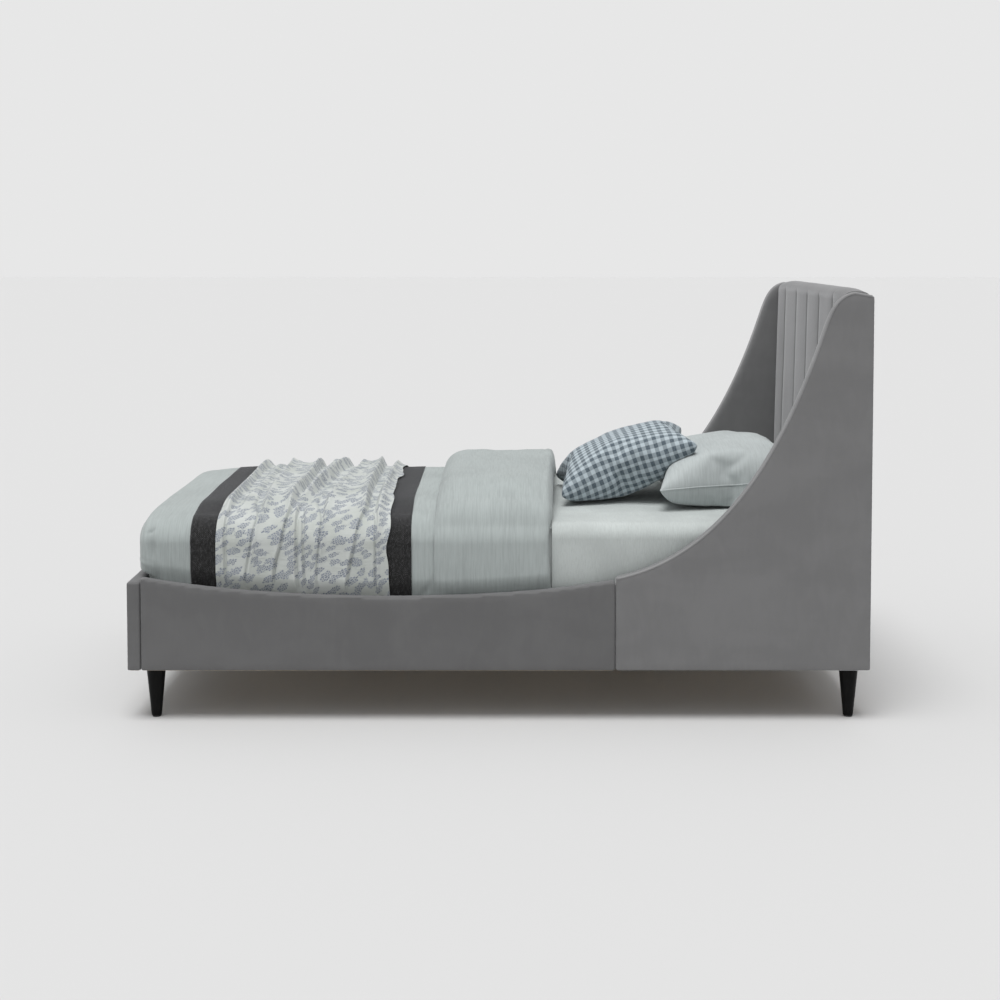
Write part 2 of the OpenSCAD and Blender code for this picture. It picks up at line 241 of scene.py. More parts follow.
class Look:
    """A node material: a Principled shader and the procedural nodes that feed it."""

    def __init__(self, name, color, roughness):
        self.material = bpy.data.materials.new(name)
        self.material.use_nodes = True
        self.tree = self.material.node_tree
        self.shader = self.tree.nodes["Principled BSDF"]
        self.shader.inputs["Base Color"].default_value = (*color, 1)
        self.shader.inputs["Roughness"].default_value = roughness
        self.place = self.tree.nodes.new("ShaderNodeTexCoord").outputs["Object"]

    def put(self, node, socket, value):
        """Links an output socket, or sets a plain value."""
        if isinstance(value, bpy.types.NodeSocket):
            self.tree.links.new(value, node.inputs[socket])
        elif value is not None:
            node.inputs[socket].default_value = value

    def node(self, kind, inputs):
        """A new node of a kind, with its inputs linked or set by name or number."""
        node = self.tree.nodes.new("ShaderNode" + kind)
        for socket, value in inputs.items():
            self.put(node, socket, value)
        return node

    def uv(self):
        return self.node("UVMap", {}).outputs["UV"]

    def scaled(self, source, scale, turn=0.0):
        """Coordinates turned about Z, then scaled on each axis."""
        if turn:
            source = self.node("Mapping", {"Vector": source, "Rotation": (0, 0, turn)}).outputs["Vector"]
        return self.node("Mapping", {"Vector": source, "Scale": scale}).outputs["Vector"]

    def noise(self, source, scale, detail=2.0, distortion=0.0):
        inputs = {"Vector": source, "Scale": scale, "Detail": detail, "Distortion": distortion}
        return self.node("TexNoise", inputs).outputs["Fac"]

    def voronoi(self, source, scale=1.0, randomness=1.0, flat=False):
        """A Voronoi node, in two dimensions if flat."""
        node = self.node("TexVoronoi", {"Vector": source, "Scale": scale, "Randomness": randomness})
        node.voronoi_dimensions = "2D" if flat else "3D"
        return node

    def wave(self, source, scale, direction="X", distortion=0.0):
        node = self.node("TexWave", {"Vector": source, "Scale": scale, "Distortion": distortion})
        node.bands_direction = direction
        return node.outputs["Fac"]

    def math(self, operation, a, b=None):
        node = self.node("Math", {0: a, 1: b})
        node.operation = operation
        return node.outputs[0]

    def remap(self, source, low, high, to_low=0.0, to_high=1.0):
        inputs = {"Value": source, "From Min": low, "From Max": high, "To Min": to_low, "To Max": to_high}
        node = self.node("MapRange", inputs)
        node.interpolation_type = "SMOOTHSTEP"
        return node.outputs["Result"]

    def mix(self, factor, a, b, blend="MIX"):
        node = self.tree.nodes.new("ShaderNodeMix")
        node.data_type = "RGBA"
        node.blend_type = blend
        self.put(node, 0, factor)
        self.put(node, 6, (*a, 1) if isinstance(a, tuple) else a)
        self.put(node, 7, (*b, 1) if isinstance(b, tuple) else b)
        return node.outputs[2]

    def separate(self, source):
        return self.node("SeparateXYZ", {0: source}).outputs

    def combine(self, x, y, z=0.0):
        return self.node("CombineXYZ", {0: x, 1: y, 2: z}).outputs[0]

    def blend(self, a, b, share):
        """A weighted sum of two values: share of a, and the rest of b."""
        return self.math("ADD", self.math("MULTIPLY", a, share), self.math("MULTIPLY", b, 1 - share))

    def color(self, source):
        self.put(self.shader, "Base Color", source)

    def shades(self, source, low, high, dark, light):
        """Base colour that runs from dark to light as the source goes from low to high."""
        self.color(self.mix(self.remap(source, low, high), dark, light))

    def rough(self, source, low, high, at_low, at_high):
        """Roughness that runs between two levels as the source goes from low to high."""
        self.put(self.shader, "Roughness", self.remap(source, low, high, at_low, at_high))

    def bump(self, height, distance, strength=1.0):
        """Adds a bump on top of any bump the shader has already."""
        node = self.tree.nodes.new("ShaderNodeBump")
        links = self.shader.inputs["Normal"].links
        if links:
            self.put(node, "Normal", links[0].from_socket)
        self.put(node, "Height", height)
        node.inputs["Distance"].default_value = distance
        node.inputs["Strength"].default_value = strength
        self.put(self.shader, "Normal", node.outputs["Normal"])

    def sheen(self, weight, roughness, tint):
        self.shader.inputs["Sheen Weight"].default_value = weight
        self.shader.inputs["Sheen Roughness"].default_value = roughness
        self.shader.inputs["Sheen Tint"].default_value = (*tint, 1)


def velvet(name, tone, sheen=0.5):
    """Short-pile velvet: brushed patches of nap, a soft glancing sheen and a fine pile."""
    look = Look(name, (tone, tone, tone * 1.01), 0.9)
    patches = look.noise(look.scaled(look.place, (1.0, 1.0, 1.6)), 5.0, 4.0, 0.6)
    strokes = look.noise(look.scaled(look.place, (1.0, 1.0, 0.35)), 26.0, 3.0, 1.2)
    nap = look.blend(patches, strokes, 0.65)
    dark = (tone * 0.95, tone * 0.95, tone * 0.96)
    light = (tone * 1.05, tone * 1.05, tone * 1.06)
    look.shades(nap, 0.36, 0.64, dark, light)
    look.rough(strokes, 0.3, 0.7, 0.82, 0.95)
    look.bump(strokes, 0.0006, 0.35)
    look.bump(look.noise(look.place, 1500.0, 1.0), 0.0002, 0.35)
    look.sheen(sheen, 0.35, (0.9, 0.9, 0.92))
    look.shader.inputs["Specular IOR Level"].default_value = 0.15
    return look.material


def washed_cotton(name, tone, crease, crease_scale):
    """Crinkled cotton whose fine creases run across the bed, with a finer grain under them."""
    look = Look(name, tone, 0.85)
    across = look.scaled(look.place, (1.0, 0.045, 0.045))
    coarse = look.noise(across, crease_scale * 0.45, 2.0, 0.3)
    fine = look.noise(across, crease_scale, 2.0, 0.2)
    creases = look.blend(coarse, fine, 0.6)
    cloud = look.noise(look.place, 7.0, 3.0)
    # The base colour darkens along the low lines of the same crease pattern that drives the bump: painted
    # shade in the creases, mixed with random cloudy tone.
    crease_shade_and_cloud = look.blend(creases, cloud, 0.7)
    dark = tuple(c * 0.88 for c in tone)
    light = tuple(min(1.0, c * 1.05) for c in tone)
    look.shades(crease_shade_and_cloud, 0.36, 0.62, dark, light)
    look.rough(creases, 0.2, 0.8, 0.78, 0.92)
    look.bump(creases, crease, 0.8)
    look.bump(look.noise(look.place, 900.0, 1.0), 0.0002, 0.3)
    look.sheen(0.15, 0.5, (1.0, 1.0, 1.0))
    look.shader.inputs["Specular IOR Level"].default_value = 0.2
    return look.material


def thread_weave(look, source, threads, depth):
    """The over and under of a plain weave, threads to the metre."""
    parts = look.separate(source)
    one = look.math("SINE", look.math("MULTIPLY", parts[0], threads * math.pi))
    two = look.math("SINE", look.math("MULTIPLY", parts[1], threads * math.pi))
    height = look.math("MULTIPLY", one, two)
    look.bump(height, depth, 0.7)
    return height


def charcoal_weave(name):
    """Coarse wool in charcoal yarns with grey flecks."""
    look = Look(name, (0.04, 0.041, 0.045), 0.9)
    cut = look.uv()
    height = thread_weave(look, cut, 330.0, 0.0010)
    fleck = look.noise(cut, 330.0, 3.0)
    slub = look.noise(look.scaled(cut, (1.0, 0.35, 1.0)), 150.0, 3.0)
    mixed = look.blend(fleck, slub, 0.7)
    look.shades(mixed, 0.46, 0.66, (0.003, 0.003, 0.003), (0.060, 0.060, 0.062))
    look.rough(height, -1.0, 1.0, 0.95, 0.85)
    look.bump(fleck, 0.0008, 0.5)
    look.sheen(0.50, 0.3, (0.9, 0.92, 0.97))
    return look.material


def floral_cotton(name):
    """Off-white crinkled cotton scattered with small blue-grey sprigs of leaves."""
    look = Look(name, (0.55, 0.58, 0.56), 0.85)
    cut = look.uv()
    drift = look.noise(cut, 9.0, 2.0)
    parts = look.separate(cut)
    bent = look.combine(
        look.math("ADD", parts[0], look.math("MULTIPLY", drift, 0.030)),
        look.math("ADD", parts[1], look.math("MULTIPLY", drift, 0.022)),
    )
    leaf_place = look.scaled(bent, (*LEAVES_PER_METRE, 1.0), -SPRIG_TILT)
    near = look.voronoi(leaf_place, randomness=0.9, flat=True)
    gaps = look.voronoi(leaf_place, randomness=0.9, flat=True)
    gaps.feature = "DISTANCE_TO_EDGE"
    sprig_share = tuple(sprig / leaf for sprig, leaf in zip(SPRIGS_PER_METRE, LEAVES_PER_METRE))
    sprig_place = look.scaled(near.outputs["Position"], (*sprig_share, 1.0))
    sprigs = look.voronoi(sprig_place, randomness=0.75, flat=True)
    inside = look.remap(sprigs.outputs["Distance"], 0.36, 0.42, 1.0, 0.0)
    leaf = look.math("MULTIPLY", inside, look.remap(gaps.outputs["Distance"], 0.04, 0.20, 0.10, 1.0))
    tint = look.separate(near.outputs["Color"])[0]
    ink = look.mix(tint, (0.13, 0.15, 0.20), (0.22, 0.245, 0.30))
    ground = look.mix(look.remap(drift, 0.3, 0.7), (0.44, 0.465, 0.44), (0.52, 0.545, 0.53))
    look.color(look.mix(look.math("MULTIPLY", leaf, 0.9), ground, ink))
    crinkle = look.noise(look.scaled(cut, (0.2, 1.0, 1.0)), 150.0, 3.0, 0.4)
    look.rough(crinkle, 0.2, 0.8, 0.78, 0.92)
    look.bump(crinkle, 0.0022, 0.6)
    look.bump(look.noise(cut, 900.0, 1.0), 0.0002, 0.3)
    look.sheen(0.15, 0.5, (1.0, 1.0, 1.0))
    return look.material


def gingham_cotton(name, check):
    """Blue-grey and white checks: two dyed stripes crossing make the dark squares."""
    look = Look(name, (0.5, 0.56, 0.6), 0.85)
    cut = look.uv()
    drift = look.noise(cut, 30.0, 1.0)
    parts = look.separate(cut)
    stripes = []
    for part in (parts[0], parts[1]):
        shifted = look.math("ADD", part, look.math("MULTIPLY", drift, 0.002))
        swing = look.math("SINE", look.math("MULTIPLY", shifted, 2 * math.pi / check))
        stripes.append(look.remap(swing, -0.22, 0.22))
    white, blue = (0.46, 0.53, 0.57), (0.048, 0.074, 0.096)
    half = look.mix(0.5, white, blue)
    once = look.mix(stripes[0], white, half)
    twice = look.mix(stripes[0], half, blue)
    yarn = look.noise(look.scaled(cut, (1.0, 0.2, 1.0)), 700.0, 2.0)
    cloth = look.mix(stripes[1], once, twice)
    look.color(look.mix(look.remap(yarn, 0.3, 0.7, 0.0, 0.16), cloth, (0.52, 0.58, 0.62)))
    look.rough(yarn, 0.2, 0.8, 0.8, 0.92)
    thread_weave(look, cut, 900.0, 0.00025)
    look.bump(look.noise(cut, 120.0, 3.0), 0.0009, 0.5)
    look.sheen(0.12, 0.5, (1.0, 1.0, 1.0))
    return look.material


def seersucker(name, tone):
    """Fine puckered cotton for the sheet: short ripples in close rows."""
    look = Look(name, tone, 0.82)
    rows = look.noise(look.scaled(look.place, (1.0, 0.12, 0.12)), 420.0, 2.0, 0.8)
    cloud = look.noise(look.place, 9.0, 2.0)
    light = tuple(min(1.0, c * 1.05) for c in tone)
    # The base colour darkens along the low lines of the pucker rows that also drive the bump: painted shade in
    # the puckers, multiplied by random cloudy tone.
    look.shades(look.math("MULTIPLY", rows, cloud), 0.1, 0.4, tuple(c * 0.9 for c in tone), light)
    look.rough(rows, 0.2, 0.8, 0.76, 0.9)
    look.bump(rows, 0.0016, 0.6)
    look.bump(look.noise(look.place, 800.0, 1.0), 0.0002, 0.3)
    look.sheen(0.15, 0.5, (1.0, 1.0, 1.0))
    return look.material


def timber(name, tone, along, plies=False):
    """Sawn wood with grain along one axis, or the stacked plies of a board's edge."""
    look = Look(name, tone, 0.6)
    stretch = [1.0, 1.0, 1.0]
    stretch["XYZ".index(along)] = 0.07
    place = look.scaled(look.place, tuple(stretch))
    rings = look.wave(place, 9.0, "DIAGONAL", 5.0)
    pores = look.noise(place, 260.0, 3.0)
    grain = look.blend(rings, pores, 0.6)
    look.shades(grain, 0.2, 0.8, tuple(c * 0.72 for c in tone), tuple(min(1.0, c * 1.1) for c in tone))
    look.rough(pores, 0.3, 0.7, 0.5, 0.75)
    look.bump(pores, 0.0005, 0.5)
    if plies:
        look.bump(look.wave(look.place, 160.0, plies), 0.0004, 0.5)
    return look.material


def black_lacquer(name):
    """Turned wood under black satin lacquer, with a trace of grain and uneven gloss."""
    look = Look(name, (0.005, 0.005, 0.005), 0.5)
    grain = look.noise(look.scaled(look.place, (1.0, 1.0, 0.06)), 420.0, 3.0)
    blotch = look.noise(look.place, 60.0, 3.0)
    look.shades(grain, 0.35, 0.75, (0.003, 0.003, 0.003), (0.007, 0.0068, 0.0066))
    look.rough(blotch, 0.3, 0.7, 0.38, 0.52)
    look.bump(grain, 0.0003, 0.4)
    look.shader.inputs["Specular IOR Level"].default_value = 0.10
    return look.material


def zinc(name):
    """Zinc-plated steel: faint spangle and fine scratches."""
    look = Look(name, (0.62, 0.62, 0.64), 0.35)
    look.shader.inputs["Metallic"].default_value = 1.0
    spangle = look.voronoi(look.place, 140.0).outputs["Color"]
    scratch = look.noise(look.scaled(look.place, (1.0, 0.2, 1.0)), 300.0, 3.0)
    look.shades(look.separate(spangle)[0], 0.0, 1.0, (0.52, 0.52, 0.54), (0.68, 0.68, 0.70))
    look.rough(scratch, 0.3, 0.7, 0.28, 0.48)
    look.bump(scratch, 0.0002, 0.3)
    return look.material


def plastic(name):
    """Black moulded plastic with a fine texture."""
    look = Look(name, (0.03, 0.03, 0.03), 0.5)
    grain = look.noise(look.place, 700.0, 2.0)
    look.color(look.mix(grain, (0.02, 0.02, 0.02), (0.05, 0.05, 0.05)))
    look.rough(grain, 0.3, 0.7, 0.42, 0.6)
    look.bump(grain, 0.0003, 0.4)
    return look.material


def webbing(name):
    """Off-white woven tape with ribs across it."""
    look = Look(name, (0.72, 0.71, 0.67), 0.9)
    ribs = look.wave(look.place, 140.0, "X")
    look.color(look.mix(ribs, (0.60, 0.59, 0.55), (0.76, 0.75, 0.71)))
    look.rough(ribs, 0.0, 1.0, 0.95, 0.85)
    look.bump(ribs, 0.0006, 0.7)
    return look.material


def ticking(name):
    """Mattress cover: cream cloth with a fine woven stripe."""
    look = Look(name, (0.80, 0.79, 0.75), 0.85)
    stripe = look.wave(look.place, 28.0, "Y")
    weave = look.noise(look.place, 800.0, 2.0)
    look.shades(stripe, 0.75, 0.9, (0.80, 0.79, 0.75), (0.55, 0.58, 0.62))
    look.rough(weave, 0.3, 0.7, 0.8, 0.92)
    look.bump(weave, 0.0003, 0.5)
    return look.material


# Metres for one dark and one light check together
CHECK = 0.0252
# The print's slant on the cloth, and how many sprigs and leaves fit in a metre along the bed and across it
SPRIG_TILT = math.radians(30)
SPRIGS_PER_METRE = (19.0, 40.0)
LEAVES_PER_METRE = (135.0, 190.0)
MATERIALS = {
    "velvet": velvet("velvet", 0.185),
    # A darker copy of the same velvet for the rails and footboard: painted shade. The velvet above is the
    # lighter copy, for the wings, headboard and back.
    "velvet_rail_shaded": velvet("velvet_rail_shaded", 0.142),
    # A lighter copy of the same velvet with more sheen for the welt cord: its lighter tone is a painted
    # highlight along the welt.
    "velvet_welt": velvet("velvet_welt", 0.26, 0.7),
    "plywood_xz": timber("plywood_xz", (0.60, 0.45, 0.29), "X", "Y"),
    "pine_x": timber("pine_x", (0.66, 0.50, 0.32), "X"),
    "pine_y": timber("pine_y", (0.66, 0.50, 0.32), "Y"),
    "pine_z": timber("pine_z", (0.66, 0.50, 0.32), "Z"),
    "slat_wood": timber("slat_wood", (0.70, 0.56, 0.38), "Y"),
    "black_lacquer": black_lacquer("black_lacquer"),
    "zinc": zinc("zinc"),
    "plastic": plastic("plastic"),
    "webbing": webbing("webbing"),
    "ticking": ticking("ticking"),
    "sheet_cotton": seersucker("sheet_cotton", (0.49, 0.525, 0.515)),
    "duvet_cotton": washed_cotton("duvet_cotton", (0.36, 0.395, 0.39), 0.0012, 620.0),
    "pillow_cotton": washed_cotton("pillow_cotton", (0.44, 0.475, 0.475), 0.0008, 800.0),
    "charcoal_weave": charcoal_weave("charcoal_weave"),
    "floral_cotton": floral_cotton("floral_cotton"),
    "gingham_cotton": gingham_cotton("gingham_cotton", CHECK),
}

# ---------------------------------------------------------------- velvet frame

UPHOLSTERY_VOXEL = 0.0055
SEAM_LIFT = 0.0002
WELT_RADIUS = 0.0034
WING_EDGE_LOW = [(wing_low[0], 0.400), (0.580, 0.453), (0.760, 0.684), (0.887, 1.069)]
WING_EDGE_HIGH = [(0.887, 1.069), (0.911, 1.142), (0.925, 1.180), (0.975, 1.190)]
WING_BACK = (BACK_X, wing_high[2] - 0.010)
RAIL_TOP = [(rail_low[0], 0.399), (-0.603, 0.328), (0.0, 0.331), (rail_high[0], 0.391)]


def wing_edge(count):
    """The swept edge in X and Z, from the rail joint to the back corner."""
    low = curve_points(WING_EDGE_LOW, count)
    high = curve_points(WING_EDGE_HIGH, count // 2)
    return np.concatenate([[(wing_low[0] - 0.002, low[0][1] - 0.0005)], low, high[1:], [WING_BACK]])


def upholstered_slab(name, outline, y0, y1, replaced, pucker, nap="velvet"):
    """A board in thin foam and velvet: soft edges, slightly full faces, faint drag lines near them."""
    outline = np.asarray(outline, float)
    count = len(outline)
    points = [(x, y, z) for y in (y0, y1) for x, z in outline]
    faces = [tuple(range(count)), tuple(range(2 * count - 1, count - 1, -1))]
    faces += [(i, i + count, (i + 1) % count + count, (i + 1) % count) for i in range(count)]
    piece = make_object(name, points, faces, MATERIALS[nap], "frame")
    remesh(piece, UPHOLSTERY_VOXEL, 3)
    p = mesh_points(piece)
    n = mesh_normals(piece)
    border = resample(np.vstack([outline, outline[:1]]), 0.02)
    edge = np.min(np.linalg.norm(p[:, None, [0, 2]] - border[None], axis=2), axis=1)
    flat = np.abs(n[:, 1])
    ripple = wobble(p, (0.030, 1.0, 0.030), pucker) * np.exp(-edge / 0.035)
    swell = wobble(p, 0.22, pucker + 1) * 0.0006 + wobble(p, 0.07, pucker + 2) * 0.00025
    tuck = -0.0018 * np.exp(-((edge / 0.012) ** 2))
    p += n * (flat * (0.0007 * ripple + swell + tuck))[:, None]
    p[:, 1] = np.clip(p[:, 1], min(y0, y1), max(y0, y1))
    set_points(piece, p)
    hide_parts(*replaced)
    return piece


def build_wings_and_rails():
    """On each side a swept wing and a low rail that meet at an upright seam, and the wing's welt."""
    edge = wing_edge(60)
    split = (wing_low[0] + rail_high[0]) / 2
    wing = np.concatenate([[(split, FRAME_BOTTOM)], edge, [(BACK_X, FRAME_BOTTOM)]])
    rail = np.concatenate(
        [
            [(rail_low[0], FRAME_BOTTOM - SEAM_LIFT)],
            curve_points(RAIL_TOP, 60),
            [(split, RAIL_TOP[-1][1]), (split, FRAME_BOTTOM - SEAM_LIFT)],
        ]
    )
    for side, sign, seed in (("left", 1, 10), ("right", -1, 20)):
        y0, y1 = sorted((sign * INNER_Y, sign * OUTER_Y))
        pads = (f"wing_outer_pad_{side}", f"wing_inner_pad_{side}")
        upholstered_slab(f"wing_cover_{side}", wing, y0, y1, pads, seed)
        rail_pads = (f"side_rail_cover_{side}",)
        # The rail takes the darker velvet copy, which is painted shade.
        upholstered_slab(f"rail_cover_{side}", rail, y0, y1, rail_pads, seed + 5, "velvet_rail_shaded")
        route = resample(edge[1:], 0.0035)[:-2]
        inward = np.gradient(route, axis=0)
        inward = np.stack([inward[:, 1], -inward[:, 0]], axis=1)
        inward /= np.linalg.norm(inward, axis=1)[:, None]
        route = route + inward * 0.0024
        y = np.full(len(route), sign * (OUTER_Y - WELT_RADIUS))
        path = np.stack([route[:, 0], y, route[:, 1]], axis=1)
        # The welt takes the lighter velvet copy, a painted highlight.
        welt = tube(f"welt_{side}", path, WELT_RADIUS, MATERIALS["velvet_welt"], "frame", ripple=0.00012)
        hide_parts(f"wing_welt_{side}")


def build_footboard():
    """The plain low board across the foot."""
    outline = [
        (foot_low[0], FRAME_BOTTOM - SEAM_LIFT),
        (foot_low[0], foot_high[2]),
        (foot_high[0], foot_high[2]),
        (foot_high[0], FRAME_BOTTOM - SEAM_LIFT),
    ]
    y0, y1 = foot_low[1], foot_high[1]
    # The footboard takes the darker velvet copy, which is painted shade.
    upholstered_slab("footboard_velvet", outline, y0, y1, ("footboard_cover",), 40, "velvet_rail_shaded")


build_wings_and_rails()
build_footboard()

# ---------------------------------------------------------------- headboard

SEAMS = (-INNER_Y, -0.375, -0.180, 0.0, 0.180, 0.375, INNER_Y)
CHANNEL_DEPTH = 0.006
LEAN_X = 0.012
CROWN_DROP = 0.006


def build_headboard():
    """One face of sewn channels that runs up, rolls over the top and turns down at the back edge."""
    crown_x = top_pad_high[0] - 0.040
    face_x = channel_low[0] - 0.005
    front_top = np.array([face_x + LEAN_X, HEAD_TOP - 0.030])
    front = np.array([[face_x, channel_low[2]], [face_x, 0.66], front_top])
    crown = (crown_x, HEAD_TOP)
    roll = curve_points([front_top, front_top + (0.002, 0.020), (crown_x - 0.026, HEAD_TOP), crown], 12)
    turn = [(BACK_X - 0.014, HEAD_TOP - 0.001), (BACK_X, HEAD_TOP - 0.008), (BACK_X, HEAD_TOP - 0.026)]
    over = curve_points([crown, *turn], 10)
    back = np.array([[BACK_X, top_pad_low[2]]])
    shelf = np.array([[channel_high[0], top_pad_low[2]], [channel_high[0], channel_low[2]]])
    face = resample(np.concatenate([front, roll[1:], over[1:], back]), 0.009)
    rear = resample(np.concatenate([back, shelf]), 0.03)[1:]
    bottom = resample(np.array([shelf[-1], front[0]]), 0.012)[1:-1]
    loop = np.concatenate([face, rear, bottom])
    way = np.gradient(face, axis=0)
    outward = np.stack([-way[:, 1], way[:, 0]], axis=1)
    outward /= np.linalg.norm(outward, axis=1)[:, None]
    per_channel = 26
    along = np.arange(per_channel) / per_channel
    along = along - 0.35 / (2 * math.pi) * np.sin(2 * math.pi * along)
    rows = [(low + (high - low) * u, u) for low, high in zip(SEAMS, SEAMS[1:]) for u in along]
    rows.append((INNER_Y, 1.0))
    columns = len(loop)
    points = np.zeros((len(rows), columns, 3))
    z = face[:, 1]
    depth = CHANNEL_DEPTH * (1 - smooth_step(HEAD_TOP - 0.045, HEAD_TOP - 0.012, z))
    depth = depth * smooth_step(channel_low[2] - 0.001, channel_low[2] + 0.03, z)
    for row, (y, u) in enumerate(rows):
        swell = abs(math.sin(math.pi * u)) ** 0.22
        y = y * (INNER_Y - 0.0005) / INNER_Y
        drop = CROWN_DROP * smooth_step(0.36, INNER_Y, abs(y)) ** 2
        points[row, :, 0] = loop[:, 0]
        points[row, :, 1] = y
        points[row, :, 2] = loop[:, 1] - drop * smooth_step(HEAD_TOP - 0.12, HEAD_TOP - 0.01, loop[:, 1])
        spot = np.stack([face[:, 0], np.full(len(face), y), z], axis=1)
        pucker = wobble(spot, (0.05, 0.035, 0.016), 61) * 0.0009 * math.exp(-((swell / 0.75) ** 4)) * swell
        loft = wobble(spot, (0.3, 0.12, 0.16), 62) * 0.0010 * swell
        shift = -depth * (1 - swell) + pucker + loft - 0.0012
        points[row, : len(face), 0] += outward[:, 0] * shift
        points[row, : len(face), 2] += outward[:, 1] * shift
    points[..., 2] = np.minimum(points[..., 2], HEAD_TOP)
    points[..., 0] = np.minimum(points[..., 0], BACK_X)
    faces = capped_faces(len(rows), columns)
    piece = make_object("headboard_channels", points.reshape(-1, 3), faces, MATERIALS["velvet"], "frame")
    piece.modifiers.new("soften", "SUBSURF").levels = 1
    piece.modifiers["soften"].render_levels = 1
    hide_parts("headboard_channel_pad", "headboard_top_pad")


# How far the back cover reaches under the covers beside and above it, so that no board shows
BACK_OVERLAP = 0.0015


def build_back_cover():
    """The blind-tacked back: a slightly full cloth panel inside a narrow turned border."""
    rows, columns = 90, 90
    ys = np.linspace(back_low[1] - BACK_OVERLAP, back_high[1] + BACK_OVERLAP, columns)
    zs = np.linspace(back_low[2], top_pad_low[2] + BACK_OVERLAP, rows)
    y, z = np.meshgrid(ys, zs)
    edge = np.minimum.reduce([y - ys[0], ys[-1] - y, z - zs[0], zs[-1] - z])
    spot = np.stack([np.zeros_like(y), y, z], axis=-1)
    x = back_high[0] - 0.0034 + 0.0030 * smooth_step(0, 0.035, edge) + 0.0004 * wobble(spot, 0.11, 71)
    groove = -0.0012 * np.exp(-(((edge - 0.014) / 0.004) ** 2))
    outer = np.stack([np.minimum(x + groove, back_high[0]), y, z], axis=-1)
    inner = np.stack([np.full_like(y, back_low[0]), y, z], axis=-1)
    piece = closed_shell("headboard_back_velvet", outer, inner, MATERIALS["velvet"], "frame")
    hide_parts("headboard_back_cover")


build_headboard()
build_back_cover()

# ---------------------------------------------------------------- boards, slats and hardware

NODE_LOOKS = {
    "headboard_panel": "plywood_xz",
    "headboard_stile": "pine_z",
    "headboard_rail": "pine_y",
    "wing_core": "plywood_xz",
    "side_rail_core": "plywood_xz",
    "footboard_core": "plywood_xz",
    "leg_front": "black_lacquer",
    "leg_rear": "black_lacquer",
    "leg_plates": "zinc",
    "leg_bolts": "zinc",
    "leg_glides": "plastic",
    "corner_blocks": "pine_z",
    "side_ledger": "pine_x",
    "head_ledger": "pine_y",
    "foot_ledger": "pine_y",
    "center_beam": "pine_x",
    "beam_hangers": "zinc",
    "center_leg": "black_lacquer",
    "joint_plates": "zinc",
    "joint_bolts": "zinc",
    "slat_": "slat_wood",
    "slat_straps": "webbing",
}


def finish_kept_nodes():
    """Eased edges and their own looks for the CAD nodes that stay in view."""
    for name, node in nodes.items():
        looks = [look for start, look in NODE_LOOKS.items() if name.startswith(start)]
        if not looks:
            continue
        node.data.materials.clear()
        node.data.materials.append(MATERIALS[looks[-1]])
        small = looks[-1] in ("zinc", "plastic", "webbing")
        ease = node.modifiers.new("ease", "BEVEL")
        ease.width = 0.0005 if small else 0.002
        ease.segments = 2
        ease.limit_method = "ANGLE"
        ease.angle_limit = math.radians(40)
        node.data.shade_smooth()
        node.modifiers.new("flat_faces", "WEIGHTED_NORMAL")


finish_kept_nodes()

# ---------------------------------------------------------------- bedding forms

BED_HALF = mattress_high[1]
SKIRT = duvet_low[2]
ROUND = 0.065
FOOT_ROUND = 0.040
FOOT_PUSH = 0.024
SHOULDER = 0.030
FOOT_SHARE = 0.6
SHOULDER_REACH = 0.24
MATTRESS_ROUND = 0.040
CORNER = 0.038
LOW_ROUND = 0.020
QUILT = 0.11
BED_GAP = 0.0035
SHEET_GAP = 0.0008
SOFT_STOP = 0.0012
DUVET_HALF = duvet_high[1]
DUVET_FOOT = mattress_low[0] - (duvet_high[1] - mattress_high[1])
DUVET_TOP = duvet_high[2] + 0.004
CROWN = 0.006
HEAD_SKEW = 0.024
HEAD_SHORT = 0.032


def rounded(q, foot, half, top, radius):
    """Moves points of a sharp box, open at the head and underneath, onto one with round edges."""
    c = np.stack(
        [
            np.maximum(q[..., 0], foot + radius),
            np.clip(q[..., 1], -half + radius, half - radius),
            np.minimum(q[..., 2], top - radius),
        ],
        axis=-1,
    )
    d = q - c
    n = d / np.maximum(np.linalg.norm(d, axis=-1), 1e-9)[..., None]
    return c + n * radius, n


def frame_line(x):
    """Height of the side frame's top edge at x."""
    line = np.vstack([curve_points(RAIL_TOP, 60), wing_edge(60)])
    return np.interp(x, line[:, 0], line[:, 1])


def over_frame(p):
    """0 where the bedding is tucked behind the side frame and 1 where it stands clear above it."""
    line = frame_line(p[..., 0])
    return smooth_step(line + 0.002, line + 0.042, p[..., 2])


def shoulder(distance):
    """How far the soft top falls away within reach of an edge."""
    return SHOULDER * (1 - smooth_step(0, SHOULDER_REACH, distance)) ** 1.5


